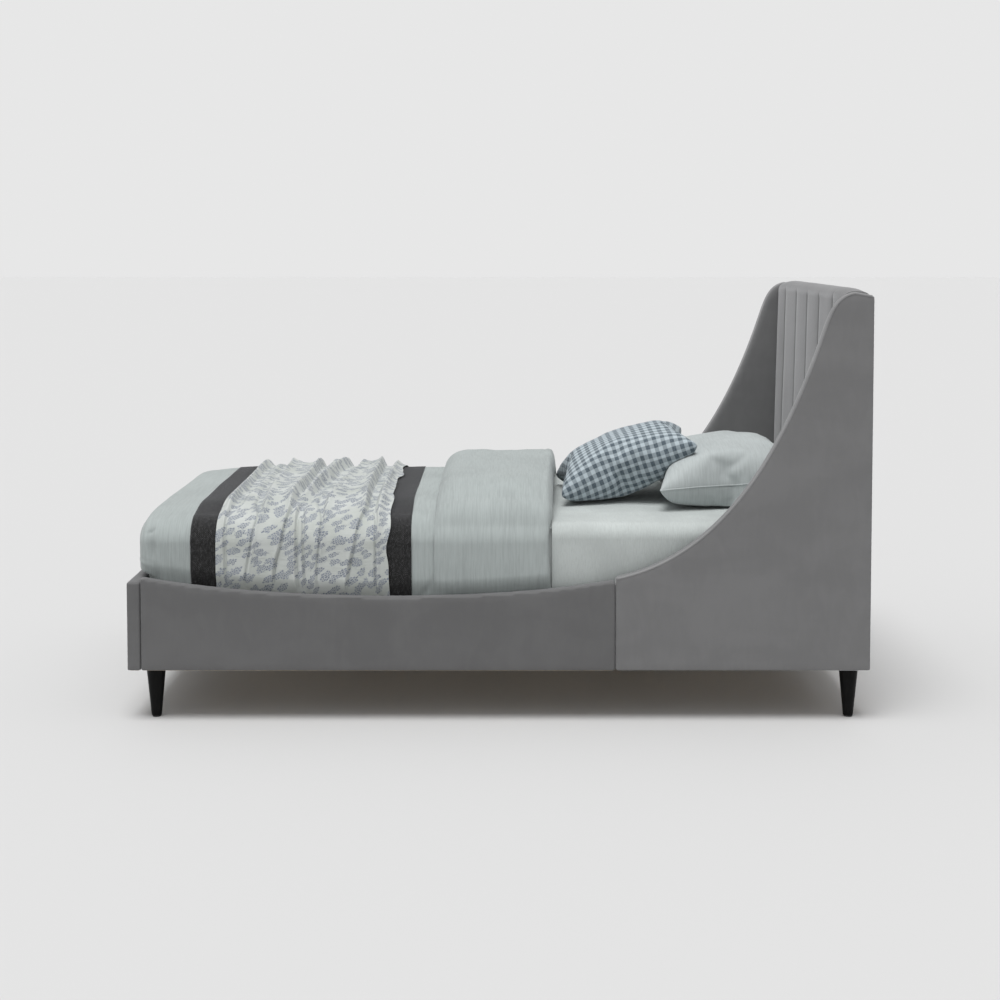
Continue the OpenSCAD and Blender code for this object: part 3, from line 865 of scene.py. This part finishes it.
def duvet_form(q, off=0.0):
    """The duvet's outer surface, off metres outside it, with the outward direction at each point."""
    stretch = ROUND / FOOT_ROUND
    q = skewed(q)
    q[..., 0] = DUVET_FOOT + (q[..., 0] - DUVET_FOOT) * stretch
    p, n = rounded(q, DUVET_FOOT, DUVET_HALF, DUVET_TOP, ROUND)
    p[..., 0] = DUVET_FOOT + (p[..., 0] - DUVET_FOOT) / stretch
    n = n * (stretch, 1, 1)
    n /= np.linalg.norm(n, axis=-1)[..., None]
    clear = over_frame(p)
    over_foot = smooth_step(foot_high[2] + 0.003, foot_high[2] + 0.020, p[..., 2])
    push = FOOT_PUSH * smooth_step(0.05, 0.75, -n[..., 0]) * over_foot
    side = np.abs(n[..., 1]) * clear * (0.0100 + 0.002 * wobble(p, (0.16, 1.0, 0.10), 81))
    up = np.maximum(n[..., 2], 0)
    beyond = np.stack([p[..., 0] - DUVET_FOOT, DUVET_HALF - np.abs(p[..., 1])])
    fall = shoulder(beyond)
    slope = np.sqrt((FOOT_SHARE * fall[0]) ** 2 + fall[1] ** 2)
    top = up * 0.0030 * wobble(p, (0.21, 0.30, 1.0), 82)
    lift = side + top + off
    p[..., 2] -= (slope + CROWN * (p[..., 1] / DUVET_HALF) ** 2) * smooth_step(0.42, 0.56, p[..., 2])
    p = p + n * lift[..., None]
    p[..., 0] -= push
    return keep_off(p, BED_GAP), n


def skewed(q):
    """The bedding's head end lies a little askew: further up the bed on its far side."""
    q = np.array(q, float)
    q[..., 0] += HEAD_SKEW * q[..., 1] / DUVET_HALF * smooth_step(-0.18, 0.10, q[..., 0])
    return q


def keep_off(p, gap):
    """Moves points out of the made mattress, to lie at least a gap outside its sheet."""
    radius = MATTRESS_ROUND + gap
    low = np.array([sheet_low[0] + MATTRESS_ROUND, -sheet_high[1] + MATTRESS_ROUND, -1.0])
    high = np.array([sheet_high[0], sheet_high[1] - MATTRESS_ROUND, sheet_high[2] - MATTRESS_ROUND])
    c = np.clip(p, low, high)
    d = p - c
    away = np.linalg.norm(d, axis=-1)
    want = radius + np.logaddexp(0, (away - radius) / SOFT_STOP) * SOFT_STOP
    return c + d * (want / np.maximum(away, 1e-6))[..., None]


def across_bed(x, count, half, top, skirt):
    """Points of the sharp box on lines across the bed. x has one value for each line, or for each point."""
    run = 2 * (top - skirt + half)
    s = np.linspace(-run / 2, run / 2, count)
    y = np.clip(s, -half, half)
    z = top - np.maximum(np.abs(s) - half, 0)
    shape = np.broadcast_shapes(np.shape(x), (1, count))
    q = np.stack([np.broadcast_to(x, shape), np.broadcast_to(y, shape), np.broadcast_to(z, shape)], axis=-1)
    return q, s


def lay_uv(piece, flat):
    """Gives each vertex its place on the flat cloth, in metres, as the piece's UV map."""
    layer = piece.data.uv_layers.new(name="UVMap")
    loops = np.empty(len(piece.data.loops), int)
    piece.data.loops.foreach_get("vertex_index", loops)
    layer.data.foreach_set("uv", np.asarray(flat, float)[loops].ravel())


def crease(distance, width):
    """A soft groove across a line, 1 in its middle."""
    return np.exp(-((distance / width) ** 2))


# ---------------------------------------------------------------- mattress and fitted sheet


def box_rings(foot, head, half, corner, levels, per_side):
    """Closed loops round a box with round upright corners, one for each (height, inset) level."""
    straight_x = np.linspace(foot + corner, head - corner, per_side[0])
    straight_y = np.linspace(-half + corner, half - corner, per_side[1])
    arc = np.linspace(0, math.pi / 2, 9)[1:-1]
    loop = [(x, -half, 0.0, -1.0) for x in straight_x]
    loop += [(head - corner, -half + corner, math.sin(a), -math.cos(a)) for a in arc]
    loop += [(head, y, 1.0, 0.0) for y in straight_y]
    loop += [(head - corner, half - corner, math.cos(a), math.sin(a)) for a in arc]
    loop += [(x, half, 0.0, 1.0) for x in straight_x[::-1]]
    loop += [(foot + corner, half - corner, -math.sin(a), math.cos(a)) for a in arc]
    loop += [(foot, y, -1.0, 0.0) for y in straight_y[::-1]]
    loop += [(foot + corner, -half + corner, -math.cos(a), -math.sin(a)) for a in arc]
    base = np.array([(x, y) for x, y, _, _ in loop])
    out = np.array([(u, v) for _, _, u, v in loop])
    on_arc = (out[:, 0] != 0) & (out[:, 1] != 0)
    base = base + np.where(on_arc[:, None], out * corner, 0)
    rings = [np.column_stack([base - out * inset, np.full(len(base), z)]) for z, inset in levels]
    return np.array(rings), out


def turn_over(top, radius):
    """Heights and insets of a round edge, from the border onto the top."""
    turn = np.linspace(0, math.pi / 2, 8)
    return [(top - radius * (1 - math.sin(a)), radius * (1 - math.cos(a))) for a in turn]


def mattress_rings(levels, per_side):
    """Loops round the mattress at a list of (height, inset) levels, drawn in towards its middle."""
    upright = [(z, 0.0) for z, _ in levels]
    rings, out = box_rings(mattress_low[0], mattress_high[0], BED_HALF, CORNER, upright, per_side)
    middle = (mattress_low[0] + mattress_high[0]) / 2
    for ring, (_, inset) in zip(rings, levels):
        ring[:, 0] = middle + (ring[:, 0] - middle) * (1 - inset / (mattress_high[0] - middle))
        ring[:, 1] = ring[:, 1] * (1 - inset / BED_HALF)
    return rings, out


def build_mattress():
    """A mattress quilted underneath, with a piped bottom edge."""
    bottom, top = mattress_low[2], mattress_high[2]
    turn = np.linspace(0, math.pi / 2, 6)
    low = [(bottom + LOW_ROUND * (1 - math.cos(a)), LOW_ROUND * (1 - math.sin(a))) for a in turn]
    rise = [(z, 0.0) for z in np.linspace(bottom + CORNER, top - CORNER, 24)[1:-1]]
    insets = np.linspace(0.05, 0.44, 24)
    under = [(bottom, i) for i in insets[::-1]]
    over = [(top, i) for i in insets]
    levels = under + low + rise + turn_over(top, CORNER) + over
    rings, _ = mattress_rings(levels, (150, 76))
    x, y = rings[..., 0], rings[..., 1]
    quilt = np.abs(np.sin(math.pi * (x + y) / QUILT) * np.sin(math.pi * (x - y) / QUILT)) ** 0.5
    below = (rings[..., 2] <= bottom + 0.0001).astype(float)
    rings[..., 2] += below * 0.004 * (1 - quilt) * smooth_step(0, 0.05, BED_HALF - 0.03 - np.abs(y))
    faces = capped_faces(len(levels), rings.shape[1])
    piece = make_object("mattress_body", rings.reshape(-1, 3), faces, MATERIALS["ticking"], "bedding")
    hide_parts("mattress")
    sewn = [(bottom + 0.014, -0.0008)]
    loop, _ = box_rings(mattress_low[0], mattress_high[0], BED_HALF, CORNER, sewn, (60, 30))
    route = np.vstack([loop[0], loop[0][:2]])
    piping = tube("mattress_piping", route, 0.0030, MATERIALS["ticking"], "bedding", sides=8)


def build_sheet():
    """A fitted sheet pulled over the mattress, with faint drag lines and a gathered hem."""
    off = sheet_high[1] - BED_HALF - 0.0006
    thickness = 0.0011
    bottom = sheet_low[2] + 0.002
    top = mattress_high[2]
    rise = [(z, 0.0) for z in np.linspace(bottom, top - CORNER, 44)[:-1]]
    insets = CORNER + np.linspace(0, 1, 34)[1:] ** 1.3 * (BED_HALF - CORNER - 0.001)
    levels = rise + turn_over(top, CORNER) + [(top, i) for i in insets]
    rings, out = mattress_rings(levels, (260, 130))
    upness = np.array([smooth_step(top - CORNER, top, z) for z, _ in levels])[:, None]
    side = 1 - upness
    level_part = np.broadcast_to(out, (len(levels), *out.shape)) * side[..., None]
    upright_part = np.broadcast_to(upness, rings.shape[:2])[..., None]
    n = np.concatenate([level_part, upright_part], axis=-1)
    n /= np.linalg.norm(n, axis=-1)[..., None]
    hem_share = 1 - smooth_step(bottom, bottom + 0.20, rings[..., 2])
    ripple = wobble(rings, (0.030, 0.030, 0.20), 91) * side * hem_share
    drag = wobble(rings, (0.05, 0.16, 0.16), 92) * 0.0005
    tall = wobble(rings, (0.012, 0.012, 0.30), 93) * 0.00035
    lift = np.clip(off - 0.0002 + 0.0006 * ripple + drag + tall, 0.0014, off + 0.0006)
    outer = rings + n * lift[..., None]
    inner = outer - n * thickness
    columns = rings.shape[1]
    count = outer.shape[0] * columns
    faces = grid_faces(outer.shape[0], columns, ring=True)
    inside = [tuple(i + count for i in face[::-1]) for face in faces]
    hem = [(k, k + count, (k + 1) % columns + count, (k + 1) % columns) for k in range(columns)]
    caps = [
        tuple(count - columns + k for k in range(columns)),
        tuple(2 * count - columns + k for k in range(columns))[::-1],
    ]
    points = np.concatenate([outer.reshape(-1, 3), inner.reshape(-1, 3)])
    faces += inside + hem + caps
    piece = make_object("sheet_fitted", points, faces, MATERIALS["sheet_cotton"], "bedding")
    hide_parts("fitted_sheet")


build_mattress()
build_sheet()

# ---------------------------------------------------------------- duvet

# Where the tuck at each foot corner bends
TUCK_X = -0.9715
TUCK_Z = 0.512
DUVET_STEP = 0.0055
FOLD_STEP = 0.006
FOLD_COLUMNS = 250


def duvet_wrinkles(q, n):
    """Folds in the duvet: lines across the bed, a tuck at each foot corner, a valley by the turn-down."""
    x, z = q[..., 0], q[..., 2]
    side = np.abs(n[..., 1])
    depth = 0.0016 * wobble(q, (0.045, 0.22, 0.16), 101) + 0.0007 * wobble(q, (0.016, 0.10, 0.09), 102)
    tuck_x = TUCK_X + 0.146 * np.maximum(TUCK_Z - z, 0) - 0.29 * np.maximum(z - TUCK_Z, 0)
    corner = smooth_step(0.05, 0.20, side) * smooth_step(0.560, 0.535, z)
    tuck = smooth_step(tuck_x + 0.002, tuck_x - 0.004, x) * corner
    depth = depth - 0.0025 * tuck - 0.0115 * crease(x - tuck_x, 0.0048) * corner
    small = np.sin((z - 0.42 + 0.4 * (x + 0.98)) * 2 * math.pi / 0.022) * smooth_step(0.46, 0.43, z) * tuck
    depth = depth + 0.0012 * small
    valley = crease(x - fold_low[0] - 0.004, 0.022) * side
    depth = depth - 0.0040 * valley * smooth_step(0.33, 0.50, z)
    slant = x - (fold_low[0] - 0.045) - 0.75 * (z - 0.33)
    return depth - 0.0030 * crease(slant, 0.009) * side * smooth_step(0.44, 0.36, z)


def duvet_grid(step):
    """The sharp box's top as a grid, and its skirts as rows from head to head at falling heights."""
    xs = np.linspace(duvet_high[0] - HEAD_SHORT, DUVET_FOOT, int((duvet_high[0] - DUVET_FOOT) / step))
    ys = np.linspace(-DUVET_HALF, DUVET_HALF, int(2 * DUVET_HALF / step))
    gx, gy = np.meshgrid(xs, ys, indexing="ij")
    top = np.stack([gx, gy, np.full_like(gx, DUVET_TOP)], axis=-1).reshape(-1, 3)
    rows, columns = len(xs), len(ys)
    faces = grid_faces(rows, columns)
    above = [i * columns for i in range(rows)]
    above += [(rows - 1) * columns + j for j in range(1, columns)]
    above += [i * columns + columns - 1 for i in range(rows - 2, -1, -1)]
    edge = top[above]
    points, total = [top], len(top)
    for z in np.linspace(DUVET_TOP, SKIRT, int((DUVET_TOP - SKIRT) / step))[1:]:
        points.append(np.column_stack([edge[:, :2], np.full(len(edge), z)]))
        below = list(range(total, total + len(edge)))
        faces += [(above[k], above[k + 1], below[k + 1], below[k]) for k in range(len(edge) - 1)]
        above, total = below, total + len(edge)
    return np.concatenate(points), faces


def build_duvet():
    """A filled duvet laid over the bed, tucked between the mattress and the rails."""
    q, faces = duvet_grid(DUVET_STEP)
    p, n = duvet_form(q)
    p = p + n * duvet_wrinkles(p, n)[:, None]
    room = DUVET_HALF + 0.0003 + 0.03 * over_frame(p)
    p[:, 1] = np.clip(p[:, 1], -room, room)
    foot_room = 0.0008 + 0.04 * smooth_step(foot_high[2] + 0.003, foot_high[2] + 0.018, p[:, 2])
    p[:, 0] = np.maximum(p[:, 0], DUVET_FOOT - foot_room)
    foot, half, top = sheet_low[0] - SHEET_GAP, sheet_high[1] + SHEET_GAP, sheet_high[2] + SHEET_GAP
    x, y, z = q.T
    inside = np.column_stack([np.maximum(x, foot), np.clip(y, -half, half), np.minimum(z, top)])
    inner, _ = rounded(inside, foot, half, top, MATTRESS_ROUND)
    count = len(p)
    edges = dict.fromkeys(pair for face in faces for pair in zip(face, face[1:] + face[:1]))
    walls = [(b, a, a + count, b + count) for a, b in edges if (b, a) not in edges]
    faces += [tuple(i + count for i in face[::-1]) for face in faces] + walls
    points = np.concatenate([p, inner])
    piece = make_object("duvet_cover", points, faces, MATERIALS["duvet_cotton"], "bedding")
    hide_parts("duvet")


# How far the turned-back edge wanders along its run across the bed, from the near hem to the far one
FOLD_EDGE = (
    (-0.76, 0.004),
    (-0.62, -0.006),
    (-0.55, -0.006),
    (-0.46, 0.004),
    (-0.20, 0.002),
    (0.4, 0.0),
    (0.76, 0.0),
)


def build_fold():
    """The duvet's head end turned back over itself, with a full rounded edge towards the pillows."""
    x0, x1 = fold_low[0], fold_high[0]
    t = np.linspace(0, 1, int((x1 - x0) / FOLD_STEP))
    t = 0.5 - 0.5 * np.cos(math.pi * t) * (1 - 0.25 * np.abs(np.cos(math.pi * t)) ** 3) / 0.75
    half_run = DUVET_TOP - SKIRT - 0.001 + DUVET_HALF
    run = np.linspace(-half_run, half_run, FOLD_COLUMNS)
    edge_x = x1 + np.interp(run, *zip(*FOLD_EDGE))
    x = x0 + (edge_x - x0)[None, :] * t[:, None]
    q, _ = across_bed(x, FOLD_COLUMNS, DUVET_HALF, DUVET_TOP, SKIRT + 0.001)
    base, n = duvet_form(q)
    down = np.clip((DUVET_TOP - base[..., 2]) / (DUVET_TOP - SKIRT), 0, 1)
    t = np.broadcast_to(t[:, None], down.shape)
    foot_side = np.clip(t / 0.24, 0, 1)
    head_side = np.clip((1 - t) / 0.055, 0, 1)
    loft = np.sqrt(1 - (1 - foot_side) ** 2) * np.sqrt(1 - (1 - head_side) ** 2)
    full = 0.0475 * (1 - smooth_step(0.0, 0.24, down)) + 0.0145
    free = over_frame(base)
    full = 0.0062 + (full - 0.0062) * free
    swing = 0.0020 * wobble(base, (0.05, 0.24, 0.16), 111) + 0.0009 * wobble(base, (0.018, 0.12, 0.10), 112)
    line_a = crease(q[..., 0] - 0.140 - 0.006 * wobble(base, (1.0, 0.12, 0.12), 113), 0.0045)
    line_b = crease(q[..., 0] - 0.152 - 0.004 * wobble(base, (1.0, 0.10, 0.10), 114), 0.0035)
    pucker = crease(q[..., 0] - 0.075, 0.035) * crease(down - 0.10, 0.10)
    pucker = pucker * wobble(base, (0.022, 0.06, 0.05), 115)
    height = full * loft + np.minimum(loft * 1.3, 1) * (swing + 0.0035 * pucker)
    height = np.maximum(height - 0.0022 * line_a - 0.0018 * line_b, 0.0022)
    outer = base + n * height[..., None]
    inner = base + n * np.minimum(0.0012, height * 0.5)[..., None]
    room = fold_high[1] + 0.04 * free
    outer[..., 1] = np.clip(outer[..., 1], -room, room)
    piece = closed_shell("duvet_turned_back", outer, inner, MATERIALS["duvet_cotton"], "bedding")
    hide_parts("duvet_fold")


def build_charcoal():
    """A thin woven throw laid under the floral one, showing as a band on each side of it."""
    off = charcoal_high[1] - DUVET_HALF
    xs = np.linspace(charcoal_low[0] + 0.001, charcoal_high[0] - 0.001, 100)
    q, s = across_bed(xs[:, None], 260, DUVET_HALF, DUVET_TOP, SKIRT + 0.002)
    x = q[..., 0].copy()
    flat = np.stack([x, s + 0 * x], axis=-1)
    q[..., 0] += 0.0035 * wobble(np.stack([x, s + 0 * x, 0 * x], axis=-1), (0.8, 0.22, 1.0), 121)
    base, n = duvet_form(q)
    fold = 0.0012 * wobble(base, (0.06, 0.20, 0.14), 122) + duvet_wrinkles(base, n) * 0.6
    outer = base + n * (off - 0.0002 + np.maximum(fold, -0.0007))[..., None]
    inner = outer - n * 0.0014
    piece = closed_shell("throw_charcoal", outer, inner, MATERIALS["charcoal_weave"], "bedding")
    lay_uv(piece, np.concatenate([flat.reshape(-1, 2)] * 2))
    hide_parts("charcoal_throw")


# Where each gather crosses the near hem, the near shoulder, the far shoulder and the far hem, how full
# it is, and which side is the sharp one
RIDGES = (
    (-0.768, -0.770, -0.770, -0.765, 0.5, 1),
    (-0.711, -0.662, -0.684, -0.700, 0.8, -1),
    (-0.636, -0.596, -0.594, -0.622, 0.9, 1),
    (-0.563, -0.574, -0.508, -0.530, 1.15, 1),
    (-0.530, -0.545, -0.540, -0.560, 0.45, -1),
    (-0.498, -0.486, -0.447, -0.470, 0.7, -1),
    (-0.435, -0.380, -0.394, -0.410, 1.0, 1),
    (-0.338, -0.338, -0.340, -0.345, 0.8, -1),
)


def floral_relief(x, s, half_run):
    """Gathers of the throw: puffed ridges on top, thin pleats down the sides and crepe between them."""
    spot = np.stack([x, s, np.zeros_like(x)], axis=-1)
    on_top = smooth_step(0.50, 0.36, np.abs(s))
    total = np.zeros_like(x)
    stations = (-half_run, -0.44, 0.38, half_run)
    for number, (*across, strength, facing) in enumerate(RIDGES):
        line = np.interp(s, stations, across)
        line = line + 0.004 * wobble(spot * (0, 1, 0), (1.0, 0.17, 1.0), 130 + number)
        lively = strength * (0.85 + 0.30 * wobble(spot * (0, 1, 0), (1.0, 0.26, 1.0), 140 + number))
        away = (x - line) * facing
        gentle = 0.011 + 0.010 * on_top
        sharp = 0.0028 + 0.0085 * on_top
        height = 0.0095 + 0.0135 * on_top
        ridge = np.where(away < 0, np.exp(np.minimum(away, 0) / gentle), np.exp(-((away / sharp) ** 2)))
        gap = np.exp(-(((away - 2.4 * sharp) / (1.1 * sharp)) ** 2))
        total = total + height * lively * ridge - (0.0065 + 0.0040 * on_top) * gap
    crepe = 1 - np.abs(wobble(spot, (0.055, 0.017, 1.0), 151)) * 2.4
    crumple = 1 - np.abs(wobble(spot, (0.034, 0.20, 1.0), 152)) * 2.2
    top_folds = 0.0009 * np.maximum(crepe, -0.3) + 0.0032 * np.maximum(crumple, -0.3)
    return total + top_folds * (0.25 + 0.75 * on_top) + 0.0055 + 0.0015 * on_top


def build_floral():
    """A crinkled cotton throw gathered across the bed, with a straight foot edge and a wavy head edge."""
    off = charcoal_high[1] + 0.0006 - DUVET_HALF
    t = np.linspace(0, 1, 240)[:, None]
    half_run = DUVET_TOP - SKIRT + DUVET_HALF - 0.001
    count = 420
    s = np.linspace(-half_run, half_run, count)[None, :]
    side = np.stack([0 * s, s, 0 * s], axis=-1)
    left = floral_low[0] + 0.004 + 0.002 * wobble(side, (1.0, 0.30, 1.0), 161)
    right = floral_high[0] - 0.009 + 0.008 * wobble(side, (1.0, 0.085, 1.0), 162)
    x = left + (right - left) * t
    q, _ = across_bed(x, count, DUVET_HALF, DUVET_TOP, DUVET_TOP - half_run + DUVET_HALF)
    base, n = duvet_form(q)
    relief = floral_relief(x, s + 0 * x, half_run)
    edge = np.minimum(smooth_step(0, 0.04, t), smooth_step(1, 0.93, t))
    relief = relief * (0.25 + 0.75 * edge)
    free = over_frame(base)
    relief = np.clip(relief, 0.0002, 0.040) * (0.2 + 0.8 * free)
    outer = base + n * (off + 0.0022 + relief)[..., None]
    room = floral_high[1] + 0.0018 + 0.05 * free
    outer[..., 1] = np.clip(outer[..., 1], -room, room)
    inner = outer - n * 0.0012
    piece = closed_shell("throw_floral", outer, inner, MATERIALS["floral_cotton"], "bedding")
    run = run_along(outer[:, count // 2])
    flat = np.stack([run[:, None] + 0 * s, s + 0 * t], axis=-1).reshape(-1, 2)
    lay_uv(piece, np.concatenate([flat, flat]))
    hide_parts("floral_throw")


build_duvet()
build_fold()
build_charcoal()
build_floral()

# ---------------------------------------------------------------- pillows

RELAX_STEPS = 16


def sewn_case(name, size_x, size_y, cells, material):
    """Two rectangles of cloth sewn together round their edges, with a UV map in metres."""
    nx, ny = cells
    xs = np.linspace(-size_x / 2, size_x / 2, nx + 1)
    ys = np.linspace(-size_y / 2, size_y / 2, ny + 1)
    points, flat, index = [], [], {}
    for face in (1, -1):
        for i, x in enumerate(xs):
            for j, y in enumerate(ys):
                rim = i in (0, nx) or j in (0, ny)
                key = (0 if rim else face, i, j)
                if key in index:
                    continue
                index[key] = len(points)
                lift = 0.006 * math.cos(math.pi * x / size_x) * math.cos(math.pi * y / size_y)
                points.append((x, y, face * lift))
                flat.append((x, y))
    faces = []
    for face in (1, -1):
        for i in range(nx):
            for j in range(ny):
                corners = ((i, j), (i + 1, j), (i + 1, j + 1), (i, j + 1))
                keys = [(0 if a in (0, nx) or b in (0, ny) else face, a, b) for a, b in corners]
                quad = tuple(index[k] for k in keys)
                faces.append(quad if face > 0 else quad[::-1])
    piece = make_object(name, points, faces, material, None)
    lay_uv(piece, flat)
    seam = [index[(0, i, 0)] for i in range(nx + 1)]
    seam += [index[(0, nx, j)] for j in range(1, ny + 1)]
    seam += [index[(0, i, ny)] for i in range(nx - 1, -1, -1)]
    seam += [index[(0, 0, j)] for j in range(ny - 1, 0, -1)]
    return piece, seam


def inflate(piece, pressure, frames, stiffness=15.0, bending=0.3):
    """Blows the sewn case up with Blender's cloth, gravity off, and keeps the result."""
    cloth = piece.modifiers.new("cloth", "CLOTH")
    cloth.settings.quality = 6
    cloth.settings.mass = 0.3
    cloth.settings.tension_stiffness = stiffness
    cloth.settings.compression_stiffness = stiffness
    cloth.settings.shear_stiffness = 5.0
    cloth.settings.bending_stiffness = bending
    cloth.settings.use_pressure = True
    cloth.settings.uniform_pressure_force = pressure
    cloth.settings.effector_weights.gravity = 0
    cloth.settings.air_damping = 3.0
    cloth.point_cache.frame_start = 1
    cloth.point_cache.frame_end = frames
    for number in range(1, frames + 1):
        scene.frame_set(number)
    apply_modifiers(piece)
    scene.frame_set(1)


def turned(points, tilt, centre):
    """Points turned nose-up by tilt about Y and moved to their centre."""
    c, s = math.cos(tilt), math.sin(tilt)
    x = points[:, 0] * c - points[:, 2] * s
    z = points[:, 0] * s + points[:, 2] * c
    return np.column_stack([x, points[:, 1], z]) + np.asarray(centre)


def press(z, floor, soft):
    """Flattens whatever lies below a level onto it, with a soft approach."""
    over = z - floor
    return floor + np.where(over > soft, over, np.maximum(soft * np.exp((over - soft) / soft), 0.0))


def fit(points, size):
    """Scales a shape about its middle to an exact size."""
    low, high = points.min(axis=0), points.max(axis=0)
    return (points - (low + high) / 2) * (np.asarray(size) / (high - low))


def build_pillow(node, slot, cut, cells, size, tilt, centre, soft, seed, sag, plump):
    """A sewn case blown up and creased, laid at its slant and pressed flat where it rests on the sheet."""
    piece, seam = sewn_case(f"{node}_case", cut[0], cut[1], cells, MATERIALS[slot])
    inflate(piece, 3.0, 28)
    piece.modifiers.new("soften", "SUBSURF").levels = 1
    relax(piece, RELAX_STEPS)
    p = fit(mesh_points(piece), size)
    half = size[2] / 2
    p[:, 2] = np.sign(p[:, 2]) * half * (np.abs(p[:, 2]) / half) ** plump
    set_points(piece, p)
    n = mesh_normals(piece)
    rise = np.abs(p[:, 2]) / half
    creased = wobble(p, 0.055, seed) * 0.0020 + wobble(p, (0.022, 0.05, 0.03), seed + 1) * 0.0008
    p = p + n * (creased * smooth_step(0.05, 0.3, rise))[:, None]
    p[:, 2] -= sag * smooth_step(0.3, 1.0, -2 * p[:, 0] / size[0])
    p = turned(p, math.radians(tilt), centre)
    p[:, 2] = press(p[:, 2], sheet_high[2] + SHEET_GAP, soft)
    set_points(piece, p)
    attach(piece, node)
    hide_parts(node)
    return piece, p[seam]


def lean_on(piece, other, gap):
    """Moves the points of one pillow that lie inside another out to its surface, and a gap beyond."""
    tree = BVHTree.FromObject(other, bpy.context.evaluated_depsgraph_get())
    p = mesh_points(piece)
    for i, point in enumerate(p):
        near, normal, _, _ = tree.find_nearest(Vector(point), 0.12)
        if near is None:
            continue
        depth = (Vector(point) - near).dot(normal)
        if depth < gap:
            p[i] = near + normal * gap
    set_points(piece, p)


def pipe(name, route, radius, slot, body):
    """Piping sewn into a pillow's seam."""
    path = resample(np.vstack([route, route[:1]]), 0.006)
    piping = tube(name, path, radius, MATERIALS[slot], body, sides=8)


plain_piece, plain_seam = build_pillow(
    "pillow_plain",
    "pillow_cotton",
    cut=(0.500, 0.650),
    cells=(54, 70),
    size=(0.450, 0.615, 0.224),
    tilt=4.0,
    centre=(0.694, 0.0, 0.6185),
    soft=0.02,
    seed=171,
    sag=0.0,
    plump=0.87,
)
pipe("pillow_plain_piping", plain_seam, 0.0020, "pillow_cotton", "pillow_plain")
gingham_piece, _ = build_pillow(
    "pillow_gingham",
    "gingham_cotton",
    cut=(0.462, 0.462),
    cells=(56, 56),
    size=(0.432, 0.428, 0.180),
    tilt=20.0,
    centre=(0.384, 0.0, 0.651),
    soft=0.012,
    seed=181,
    sag=0.005,
    plump=0.88,
)
lean_on(gingham_piece, plain_piece, 0.0015)

# ---------------------------------------------------------------- studio

FLOOR_TONE = 0.60
SKY_LEVELS = ((0.0, 0.80), (0.20, 0.80), (0.34, 0.36), (1.0, 0.80))
FOOT_SIDE_SKY = 1.0


def build_studio():
    """A pale floor, and a sky whose brightness changes with height."""
    floor_mesh = bpy.data.meshes.new("floor")
    reach = 60.0
    corners = [(-reach, -reach, 0), (reach, -reach, 0), (reach, reach, 0), (-reach, reach, 0)]
    floor_mesh.from_pydata(corners, [], [(0, 1, 2, 3)])
    floor = bpy.data.objects.new("floor", floor_mesh)
    scene.collection.objects.link(floor)
    look = Look("studio_floor", (FLOOR_TONE, FLOOR_TONE, FLOOR_TONE), 0.8)
    floor_mesh.materials.append(look.material)
    world = bpy.data.worlds.new("studio")
    world.use_nodes = True
    tree = world.node_tree
    background = tree.nodes["Background"]
    parts = tree.nodes.new("ShaderNodeSeparateXYZ")
    tree.links.new(tree.nodes.new("ShaderNodeTexCoord").outputs["Generated"], parts.inputs[0])
    height = tree.nodes.new("ShaderNodeValToRGB")
    stops = height.color_ramp.elements
    while len(stops) < len(SKY_LEVELS):
        stops.new(0.5)
    for stop, (at, level) in zip(stops, SKY_LEVELS):
        stop.position = at
        stop.color = (level, level, level, 1)
    tree.links.new(parts.outputs["Z"], height.inputs["Fac"])
    side = tree.nodes.new("ShaderNodeMapRange")
    tree.links.new(parts.outputs["X"], side.inputs["Value"])
    span = {"From Min": -1.0, "From Max": -0.35, "To Min": FOOT_SIDE_SKY, "To Max": 1.0}
    for socket, value in span.items():
        side.inputs[socket].default_value = value
    tree.links.new(height.outputs["Color"], background.inputs["Color"])
    tree.links.new(side.outputs["Result"], background.inputs["Strength"])
    scene.world = world


def sun(name, toward, strength, spread):
    """A far soft light that comes from the direction toward."""
    lamp = bpy.data.lights.new(name, "SUN")
    lamp.energy = strength
    lamp.angle = math.radians(spread)
    holder = bpy.data.objects.new(name, lamp)
    holder.rotation_euler = Vector(toward).to_track_quat("Z", "Y").to_euler()
    scene.collection.objects.link(holder)


def build_camera():
    lens = bpy.data.cameras.new("camera")
    lens.sensor_width = 36.0
    lens.lens = 56.146
    lens.shift_x = -0.0059
    lens.shift_y = -0.1756
    lens.clip_end = 60.0
    camera = bpy.data.objects.new("camera", lens)
    camera.location = (0.0196, -4.8141, 1.3257)
    camera.rotation_euler = (math.radians(90 - 3.0), 0, 0)
    scene.collection.objects.link(camera)
    scene.camera = camera


build_studio()
sun("key", (-0.10, -0.22, 1.0), 2.2, 30)
build_camera()
scene.view_settings.view_transform = "Standard"
